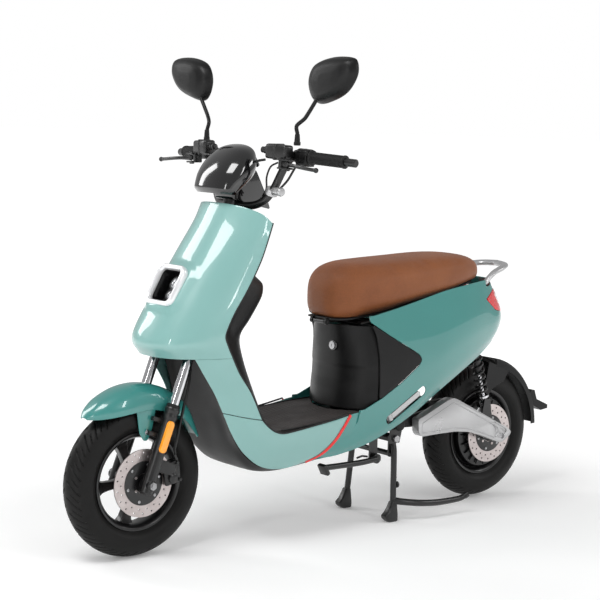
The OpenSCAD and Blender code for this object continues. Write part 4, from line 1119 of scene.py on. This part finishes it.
# ---------------------------------------------------------------- fork, suspension and brakes

def fork_legs():
    legs = []
    for s in (-1, 1):
        prof = [(-27, 11), (-26, 14), (-22, 17.6), (26, 17.8), (60, 17.2), (150, 17.6), (180, 18),
                (186, 20.4),
                (190, 20.6), (194, 19), (200, 19), (203, 20.8), (210, 20.8), (213.6, 19), (213.6, 14.4)]
        legs.append(moved(lathe(prof, (s * 75, 0, 0), (0, 0, 1), 48), FORK))
        legs.append(moved(lathe([(-21, 12), (-20, 14.5), (20, 14.5), (21, 12)], (s * 75, 0, 0), (1, 0, 0),
                                40), FORK))
        for z in (164, 124):
            legs.append(moved(rbox((s * 62, -24, z + 7), (16, 40, 13), 3), FORK))
    legs.append(moved(rbox((70, 38, 57), (9, 62, 34), 3), FORK))
    piece("fork_leg_castings", join(*legs), "black_metal", "fork", ["fork_lowers"])
    parts = []
    for s in (-1, 1):
        o = rrect(10.5, 44, 10.5, 8)
        part = loft([upright(o * [k, 1 - (1 - k) * 0.3] + [-4, 134], x)
                     for x, k in ((91, 1.0), (96.5, 1.0), (98.5, 0.94), (99.2, 0.8))])
        parts.append(moved(part if s > 0 else mirrored(part), FORK))
    piece("fork_reflectors", join(*parts), "amber", "fork")
    wiper = [(0, 14.3), (0, 17.5), (3, 18.2), (7, 17.8), (9, 15.5), (9, 14.3)]
    collars = [moved(lathe(wiper, (s * 75, 0, 213.8), (0, 0, 1), 40), FORK) for s in (-1, 1)]
    piece("fork_wipers", join(*collars), "grip", "fork")


def calipers():
    turn = shift(*FRONT) @ rot("X", 12)
    cap = [(0, 13.5), (6, 13.5), (8, 11)]
    bolt = [(0, 5), (5, 5), (6, 4)]
    parts = [rbox((x, 86, 2), (10.5, 50, 62), 5) for x in (40.6, 60.9)]
    parts.append(rbox((51, 104, 2), (29, 13, 60), 5))
    parts += [lathe(cap, (66, 84, z), (1, 0, 0), 32) for z in (-12, 16)]
    parts += [lathe(bolt, (66, 106, z), (1, 0, 0), 6) for z in (26, -22)]
    piece("front_caliper_body", moved(join(*parts), turn), "black_metal", "fork", ["front_caliper"])
    turn = shift(*REAR) @ rot("X", 138)
    cap = [(0, 12), (2, 12), (3, 10)]
    parts = [rbox((x, 86, 0), (8.5, 37, 54), 3.5) for x in (55.9, 74)]
    parts.append(rbox((65, 101, 0), (26, 9, 52), 3.5))
    parts += [lathe(cap, (78, 82, z), (1, 0, 0), 32) for z in (-12, 12)]
    piece("rear_caliper_body", moved(join(*parts), turn), "cast", "rear_arm", ["rear_caliper"])


def shock_frame():
    top, low = np.array([74.0, 553, 505]), np.array([74.0, 612, 318])
    w = unit(low - top)
    u = np.array([1.0, 0, 0])
    v = np.cross(w, u)
    m = np.eye(4)
    m[:3, 0], m[:3, 1], m[:3, 2], m[:3, 3] = u, v, w, top
    return m, float(np.linalg.norm(low - top))


def shocks():
    m, length = shock_frame()
    upper = [moved(lathe([(-9, 8), (-9, 12), (-7.5, 13), (7.5, 13), (9, 12), (9, 8)], (0, 0, 0), (1, 0, 0),
                         40), m),
             moved(lathe([(8, 10), (10, 12), (14, 14), (16, 18.5), (22, 18.5), (24, 13), (100, 11.2),
                          (102, 9)],
                         (0, 0, 0), (0, 0, 1), 40), m)]
    piece("shock_cylinders", both(join(*upper)), "black_metal", "shock_upper", ["shock_bodies"])
    lower = [moved(lathe([(90, 4.5), (91, 5.5), (length - 25, 5.5), (length - 24, 18), (length - 18, 18.5),
                          (length - 16, 12), (length - 8, 10)], (0, 0, 0), (0, 0, 1), 40), m),
             moved(lathe([(-5, 8), (-5, 11), (-4, 12), (4, 12), (5, 11), (5, 8)], (0, 0, length), (1, 0, 0),
                         40), m)]
    piece("shock_shafts", both(join(*lower)), "chrome", "shock_lower", ["shock_rods"])
    turns, low, high = 6.5, 26.5, length - 27.5
    flat_part = 0.08
    n = int(turns * 36)
    path = []
    for k in range(n + 1):
        t = k / n
        start = math.sin(min(t, flat_part) / flat_part * math.pi / 2)
        end = 1 - math.cos(max(t - (1 - flat_part), 0) / flat_part * math.pi / 2)
        rise = (high - low) * (0.03 * start + 0.94 * t + 0.03 * end)
        a = 2 * math.pi * turns * t
        path.append(on(m, (16.4 * math.cos(a), 16.4 * math.sin(a), low + rise)))
    ob = mesh_object("shock_coils", both(tube(path, 3.4, 12, side=m[:3, 2])))
    piece("shock_coils", ob, "black_metal", "shock_lower", ["shock_springs"])
    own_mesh(ob)


def rear_arm():
    outer = rounded_outline([(285, 302), (305, 308), (408, 350), (428, 354), (446, 348), (672, 238),
                             (686, 226),
                             (682, 216), (646, 196), (632, 197), (560, 224), (500, 243), (440, 250),
                             (370, 250), (300, 248), (288, 262)], 9)
    ob = mesh_object("arm_covers", prism(outer, 94.5, 124.0))
    recess = rounded_outline([(598, 261), (606, 265), (663, 237), (667, 230), (642, 211), (634, 213)], 5)
    boolean(ob, prism(recess, 119.5, 140.0), "DIFFERENCE")
    for deep, bore in ((16, 19), (60, 8.2)):
        boolean(ob, lathe([(0, bore), (deep, bore)], (90, 648, 215), (1, 0, 0), 48), "DIFFERENCE")
    finish_edges(ob, 3.2, 50, 4)
    piece("arm_covers", both(taken(ob)), "silver", "rear_arm", ["swingarm_covers"])
    lip = ((302, 288), (420, 336), (438, 337), (616, 250), (628, 238), (622, 222), (612, 214), (520, 246),
           (440, 260), (306, 258), (302, 288))
    path = smooth([[124.2, y, z] for y, z in lip], 4)
    piece("arm_cover_creases", both(tube(path, 1.6, 8)), "silver", "rear_arm")
    cap = lathe([(0, 18), (3, 18), (6, 16), (7.5, 12), (7.5, 8.4)], (106.2, 225, 288), (1, 0, 0), 40)
    piece("pivot_caps", both(cap), "plastic", "chassis")


fork_legs()
calipers()
shocks()
rear_arm()

# ---------------------------------------------------------------- seat

def seat_ring(section, n, shrink):
    """A rounded section of the seat pad from its place along y, half width, underside and top."""
    y, hw, lo, hi = section
    out = []
    for k in range(n):
        a = 2 * math.pi * k / n
        p = 0.5 if k * 2 > n else 0.75
        c, q = math.cos(a), math.sin(a)
        out.append([(hw - shrink) * math.copysign(abs(c) ** p, c), y,
                    (lo + hi) / 2 + ((hi - lo) / 2 - shrink) * math.copysign(abs(q) ** p, q)])
    return np.array(out)


VOXEL = 0.006
CLOTH_FRAMES = 20


def inflate(ob, cap):
    """Voxel remesh, a short pressurised cloth run, and a cap in metres on how far a point may move."""
    rm = ob.modifiers.new("remesh", "REMESH")
    rm.mode = "VOXEL"
    rm.voxel_size = VOXEL
    me = applied(ob)
    start = np.array([v.co[:] for v in me.vertices])
    cl = ob.modifiers.new("cloth", "CLOTH")
    st = cl.settings
    st.use_pressure = True
    st.uniform_pressure_force = 4.0
    st.quality = 4
    st.mass = 0.3
    st.tension_stiffness = 15
    st.compression_stiffness = 15
    st.bending_stiffness = 2.0
    st.effector_weights.gravity = 0.0
    cl.collision_settings.use_collision = False
    scene = bpy.context.scene
    for f in range(1, CLOTH_FRAMES + 1):
        scene.frame_set(f)
    dg = bpy.context.evaluated_depsgraph_get()
    ev = ob.evaluated_get(dg).to_mesh()
    end = np.array([v.co[:] for v in ev.vertices])
    ob.evaluated_get(dg).to_mesh_clear()
    ob.modifiers.clear()
    scene.frame_set(1)
    d = end - start
    n = np.linalg.norm(d, axis=1, keepdims=True)
    d = d * np.minimum(1.0, cap / np.maximum(n, 1e-9))
    me.vertices.foreach_set("co", (start + d).astype(np.float32).ravel())
    me.update()


def soften(ob, times):
    bm = bmesh.new()
    bm.from_mesh(ob.data)
    for _ in range(times):
        bmesh.ops.smooth_vert(bm, verts=bm.verts, factor=0.5, use_axis_x=True, use_axis_y=True,
                              use_axis_z=True)
    bm.to_mesh(ob.data)
    bm.free()


def subdivide(ob):
    sub = ob.modifiers.new("sub", "SUBSURF")
    sub.levels = sub.render_levels = 1
    applied(ob).shade_smooth()


def seat():
    nose = SEAT_RINGS[0][0]
    spec = [[y + 9.0 * max(0.0, 1 - (y - nose) / 120.0), half, low - 7.0, high]
            for y, half, low, high in SEAT_RINGS]
    rings = [seat_ring(s, 72, 3.0) for s in smooth(spec, 6)]
    ob = mesh_object("seat_pad", loft(rings))
    inflate(ob, 0.005)
    soften(ob, 6)
    subdivide(ob)
    piece("seat_pad", ob, "leather", "seat", ["seat_cushion"])


# ---------------------------------------------------------------- handlebar and what it carries

BAR_PATH = [[0, -330, 944], [45, -326, 940], [82, -316, 945], [110, -305, 962], [130, -294, 992],
            [145, -284, 1030], [160, -274.5, 1064], [180.1, -266, 1081.5]]


def handlebar():
    path = smooth(BAR_PATH, 10)
    full = np.concatenate([(path * [-1, 1, 1])[::-1][:-1], path])
    ends = both(moved(lathe([(-48, 9), (-46, 11), (168, 11), (170, 9)], (0, 0, 0), (0, 0, 1), 40), BAR))
    up = unit(np.array([0, math.sin(RAKE), math.cos(RAKE)]))
    foot = np.array([0, -648 + 28 / math.cos(RAKE), 208])
    p = foot + up * ((884 - 208) / up[2])
    clamp = lathe([(0, 15.5), (1, 20), (79, 20), (81, 18)], p, up, 48)
    piece("bar_tube", join(tube(full, 11, 28, side=(0, 1, 0.35)), ends, clamp), "black_metal", "steering",
          ["handlebar"])


def grip_part(length, end):
    prof = [(14, 11.3), (14, 19.5), (15.5, 20.6), (19, 20.6), (20.5, 18)]
    s = 22.0
    while s < length + 6:
        prof += [(s, 16.6), (s + 2.4, 16.6), (s + 3.0, 15.7), (s + 4.0, 15.7)]
        s += 4.6
    prof += [(s, 16.8), (length + 9, 17.9), (length + end, 17.9), (length + end + 1.5, 15),
             (length + end + 2, 4)]
    return lathe(prof, (0, 0, 0), (0, 0, 1), 48)


def controls():
    piece("grip_left", moved(grip_part(120.0, 12.0), BAR), "grip", "steering", ["left_grip"])
    piece("grip_right", mirrored(moved(grip_part(120.0, 13.0), BAR)), "grip", "throttle", ["throttle_grip"])
    box = join(rbox((1, 1, -8), (44, 42, 42), 8),
               lathe([(-29, 20), (-27, 22.5), (11, 22.5), (13, 20)], (0, 0, 0), (0, 0, 1), 40),
               rbox((22, 10, -8), (6, 26, 30), 2.5))
    seam = lathe([(-9, 22.9), (-8.4, 23.1), (-7.6, 23.1), (-7, 22.9)], (0, 0, 0), (0, 0, 1), 40)
    piece("switch_boxes", both(moved(join(box, seam), BAR)), "plastic", "steering", ["switch_housings"])
    cyl = join(rbox((-9, -43, -64), (40, 36, 74), 7), rbox((-9, -43, -66), (44, 40, 8), 3),
               lathe([(0, 8), (1, 10), (18, 10), (20, 8)], (-10, -42, -116), (0, 0, 1), 32),
               lathe([(0, 6), (2, 8.5), (9, 8.5), (11, 6)], (-10, -42, -127), (0, 0, 1), 32),
               lathe([(-42, 14), (-41, 17), (-31, 17), (-30, 14)], (0, 0, 0), (0, 0, 1), 40),
               rbox((-1, -20, -36), (24, 30, 13), 3), rbox((20, -52, -41), (28, 24, 12), 3),
               rbox((8.6, -58, -26), (5, 28, 36), 2), rbox((31.4, -58, -26), (5, 28, 36), 2),
               lathe([(0, 7), (2.5, 7), (3.5, 5.5)], (34, -58, -17), (1, 0, 0), 24),
               lathe([(0, 7), (2.5, 7), (3.5, 5.5)], (5, -58, -17), (-1, 0, 0), 24))
    piece("brake_cylinders", both(moved(cyl, BAR)), "black_metal", "steering", ["brake_master_cylinders"])
    path = smooth([[20, -58, -17], [20, -64, -6], [20, -74, 14], [20.5, -82, 36], [21.5, -88, 62],
                   [22.5, -91, 88], [23, -92, 108]], 8)
    n = len(path)
    r = [8.2 - 3.2 * min(1, i / (n * 0.35)) for i in range(n)]
    ball = [(7 - 7 * math.cos(math.radians(a)), 7 * math.sin(math.radians(a))) for a in range(15, 180, 15)]
    lever = join(tube(path, r, 20, side=(0, 1, 0), r2=5.2),
                 lathe([(-6, 7.6), (-5.4, 8.6), (5.4, 8.6), (6, 7.6)], (20, -58, -17), (1, 0, 0), 32),
                 lathe([(0, 0.1)] + ball + [(14, 0.1)], (23, -92, 105), (0, 0, 1), 24))
    left = moved(lever, BAR)
    for side, part in (("left", left), ("right", mirrored(left))):
        piece(f"lever_blade_{side}", part, "black_metal", f"lever_{side}", [f"brake_lever_{side}"])


def cables():
    """Hoses and wiring held at both ends: from the brake cylinders and switches into the dome."""
    runs = [([[96, -300, 1068], [74, -312, 1062], [52, -330, 1040], [42, -346, 1000], [40, -352, 960]], 3.6),
            ([[188, -262, 1062], [170, -262, 1040], [150, -268, 1010], [118, -286, 975], [84, -302, 962]],
             3.2),
            ([[150, -300, 1062], [128, -306, 1050], [112, -306, 1022], [104, -300, 990], [84, -296, 968]],
             2.6)]
    parts = [tube(smooth(pts, 10), r, 14, side=(0, 1, 0)) for pts, r in runs]
    piece("bar_hoses", both(join(*parts)), "hose", "steering")
    path = smooth([[56, -505, 506], [60, -512, 470], [66, -528, 420], [70, -543, 370], [68, -552, 325],
                   [60, -554, 292], [54, -548, 276]], 12)
    piece("caliper_hose", tube(path, 4.0, 16, side=(1, 0, 0.2)), "hose", "fork", ["front_brake_hose"])
    back = smooth([[70, 250, 330], [78, 330, 336], [80, 420, 345], [76, 500, 322], [74, 560, 292],
                   [74, 588, 276]], 10)
    piece("rear_brake_hose", tube(back, 3.6, 14, side=(1, 0, 0.1)), "hose", "rear_arm")


def pod():
    spec = [[0, -392, 972, 74, 30, -4], [0, -393, 978, 79, 35, -7], [0, -392, 984, 82, 38, -10],
            [0, -374, 1012, 89, 47, -24], [0, -350, 1040, 90, 49, -38], [0, -326, 1064, 80, 44, -52],
            [0, -306, 1082, 60, 27, -66], [0, -303, 1084, 46, 17, -68]]
    rings = []
    for _, y0, z0, half, deep, tilt in smooth(spec, 6):
        e = math.radians(tilt)
        ring = []
        for k in range(72):
            a = 2 * math.pi * k / 72
            c, q = math.cos(a), math.sin(a)
            w = deep * math.copysign(abs(q) ** 0.85, q)
            ring.append([half * math.copysign(abs(c) ** 0.85, c), y0 + w * math.cos(e), z0 + w * math.sin(e)])
        rings.append(ring)
    stem = rounded_outline([(-366, 958), (-368, 1000), (-300, 1048), (-282, 1034), (-249, 972), (-231, 928)],
                           8)
    ob = mesh_object("dome", loft(rings))
    neck = mesh_object("neck", prism(stem, -38.5, 38.5), 5.0, 38, 4)
    piece("dome_and_neck", joined("dome_and_neck", ob, neck), "gloss", "steering", ["instrument_pod"])
    o = rrect(48, 20, 8)
    m = shift(0, -293, 1062) @ rot("X", -58)
    panel = loft([flat(o * k, z) for k, z in ((1, 0), (1, 4.6), (0.985, 5.4), (0.95, 5.8))])
    piece("display_panel", moved(panel, m), "screen", "steering", ["instrument_display"])
    clamp = [(-9, 11.6), (-9, 16), (-8, 17.4), (8, 17.4), (9, 16), (9, 11.6)]
    hook = join(moved(lathe(clamp, (0, 0, 0), (0, 0, 1), 48), shift(125, -297, 983) @ rot("Y", 28)),
                lathe([(0, 9), (1.5, 11.4), (34, 11.4), (36, 10), (36.5, 5)], (137, -300, 984), (1, 0, 0),
                      40),
                lathe([(0, 12), (3, 12.6), (5, 12)], (163, -300, 984), (1, 0, 0), 40))
    piece("bar_clamp_ring", hook, "silver", "steering", ["bar_hook"])


def mirrors():
    outline = MIRROR_OUTLINE[-1:] + MIRROR_OUTLINE + MIRROR_OUTLINE[:2]
    line = smooth(flat(outline, 0.0), 14)[14:-15, :2]
    c = np.array([313.0, -254.0, 1284.0])

    def ring(k, y):
        return [c + [p[0] * k, y, p[1] * k] for p in line]

    spec = smooth([[0.04, -31], [0.3, -30.5], [0.62, -27], [0.86, -17], [0.965, -4], [1, 4], [0.995, 7],
                   [0.965, 8.6], [0.95, 7.4], [0.95, 6.0]], 4)
    head = loft([ring(k, y) for k, y in spec])
    stem = tube(smooth([[203, -278, 1130], [202, -277.6, 1142], [197, -276, 1162], [220, -266, 1184],
                        [262, -262, 1236], [284, -262, 1262]], 10), 5.4, 20, side=(0, 1, 0))
    nut = lathe([(0, 8), (1, 9.4), (9, 9.4), (10, 8)], (203, -278, 1109.6), (0, 0, 1), 6)
    boot = lathe([(9, 8), (22, 7.2), (30, 6.4), (31, 5)], (203, -278, 1109.6), (0, 0, 1), 32)
    knuckle = lathe([(0, 6), (3, 9.5), (10, 10.5), (16, 9), (18, 5)], (262, -261, 1238), (0.55, 0.05, 0.8),
                    24)
    left = join(head, stem, nut, boot, knuckle)
    glass = loft([ring(0.945, 7.0), ring(0.945, 8.4), ring(0.93, 8.9)])
    for side, shell, face in (("left", left, glass), ("right", mirrored(left), mirrored(glass))):
        piece(f"mirror_shell_{side}", shell, "plastic", f"mirror_arm_{side}", [f"mirror_{side}"])
        piece(f"mirror_face_{side}", face, "mirror", f"mirror_arm_{side}", [f"mirror_glass_{side}"])


def rail():
    pts = [[72, 520, 668], [74, 552, 677], [77, 588, 691], [79, 606, 708], [80, 626, 723],
           [75, 662, 734], [50, 700, 740], [0, 716, 743]]
    path = smooth(pts, 10)
    full = np.concatenate([path, (path * [-1, 1, 1])[::-1][1:]])
    width = np.interp(full[:, 1], [590, 650], [9.6, 12.4])
    piece("grab_loop", tube(full, width, 24, side=(0, 0, 1), r2=9.0), "silver", "chassis", ["grab_rail"])


PIVOT = (220.0, 246.0)
KICK = np.array([118.0, 128.0, 200.0])
SPRING_STEPS = 240


def foot():
    """The wedge foot on a stand leg, its toe to the front."""
    rings = []
    for z, hx, hy, cy in ((0, 11, 15, 207), (3, 13.5, 19, 205), (12, 14, 24, 200), (20, 14, 25, 199),
                          (30, 13, 19, 204), (44, 11.5, 14, 208), (56, 10.5, 11, 210), (60, 9, 9, 210)):
        rings.append(flat(rrect(hx, hy, min(hx, hy) * 0.5, 5) + [104, cy], z))
    return loft(rings)


def stands():
    """The centre stand with its foot lever, the side stand, and the coil spring between leg and frame."""
    y, z = PIVOT
    leg = smooth([[80, y, z], [92, y - 1, z - 40], [102, 213, 70], [104, 210, 40]], 8)
    plate = rounded_outline([(y - 15, z + 13), (y + 15, z + 13), (y + 9, z - 56), (y - 15, z - 56)], 6)
    bore = [(-87.6, 7.6), (-87.6, 11.6), (-86.4, 12.6), (86.4, 12.6), (87.6, 11.6), (87.6, 7.6), (-87.6, 7.6)]
    legs = [both(tube(leg, 9.2, 24)), both(foot()), both(prism(plate, 79, 84)),
            tube([[-90, 215, 199], [90, 215, 199]], 8.4, 24, side=(0, 1, 0)), bored(bore, (0, y, z), 48)]
    lever = smooth([[104, 213, 62], [119, 236, 58], [139, 286, 52], [143, 350, 46], [144, 410, 45],
                    [146, 448, 47], [150, 467, 54]], 8)
    width = np.interp(np.linspace(0, 1, len(lever)), [0, 0.25, 0.5, 0.75, 1], [10.5, 10.0, 9.8, 8.8, 8.4])
    legs.append(tube(lever, width, 24))
    legs.append(tube([[151, 463, 52], [155, 473, 60]], 9.0, 24))
    legs.append(lathe([(0, 8), (1, 9.5), (6, 9.5), (7, 8)], (101, 223, 108), (0, 1, 0), 32))
    piece("centre_stand_tubes", join(*legs), "black_metal", "main_stand", ["centre_stand"])
    bar = smooth([KICK + [2, -4, 0], KICK + [2, -60, -4], KICK + [3, -140, -4], KICK + [4, -204, -3]], 8)
    turn = rot("X", 28)[:3, :3]
    parts = [tube(bar, 8.6, 24), rbox(KICK + [6, -208, -7], (34, 13, 34), 4, turn),
             tube([KICK + [-9, -70, 8], KICK + [-9, -50, 12], KICK + [-9, -30, 8]], 3, 12)]
    eye = [(-13, 5.6), (-13, 13), (-12, 14.4), (2, 14.4), (3, 13), (3, 5.6), (-13, 5.6)]
    parts.append(bored(eye, KICK, 48))
    piece("side_stand_bar", join(*parts), "black_metal", "kick_stand", ["side_stand"])
    a, b = np.array([72.0, 236, 214]), np.array([90.0, 228, 116])
    w = unit(b - a)
    u = unit(np.cross(w, [0, 1, 0]))
    v = np.cross(w, u)
    length = np.linalg.norm(b - a)
    coil = []
    for k in range(SPRING_STEPS + 1):
        turn = k / 12 * math.pi
        along = a + w * (10 + (length - 20) * k / SPRING_STEPS)
        coil.append(along + 6.0 * (math.cos(turn) * u + math.sin(turn) * v))
    ends = [tube(line, 1.3, 8, side=u) for line in ([a, a + w * 10], [b - w * 10, b])]
    piece("stand_return_spring", join(tube(coil, 1.3, 8, side=w), *ends), "zinc", "main_stand")


seat()
handlebar()
controls()
cables()
pod()
mirrors()
rail()
stands()
disc_carrier("front_disc_carrier", 52.75, FRONT, 27.0, 60.0, "front_wheel")
disc_carrier("rear_disc_carrier", 66.05, REAR, 27.0, 58.0, "rear_wheel")

# ---------------------------------------------------------------- finishes of the CAD nodes that stay

KEEP = {
    "main_frame": "black_metal", "battery": "plastic", "pivot_bolt": "zinc", "seat_lock": "zinc",
    "steering_stem": "black_metal", "fork_stanchions": "chrome", "horn_button": "orange",
    "power_button": "red",
    "front_axle": "zinc", "front_disc": "disc", "swingarm": "black_metal", "rear_axle": "zinc",
    "rear_mudguard": "plastic", "rear_disc": "disc", "seat_base": "plastic", "footpeg_left": "silver",
    "footpeg_right": "silver",
}
for name, key in KEEP.items():
    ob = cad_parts[name]
    ob.data.materials.clear()
    ob.data.materials.append(MATERIALS[key])
    shaded(ob.data, 32)
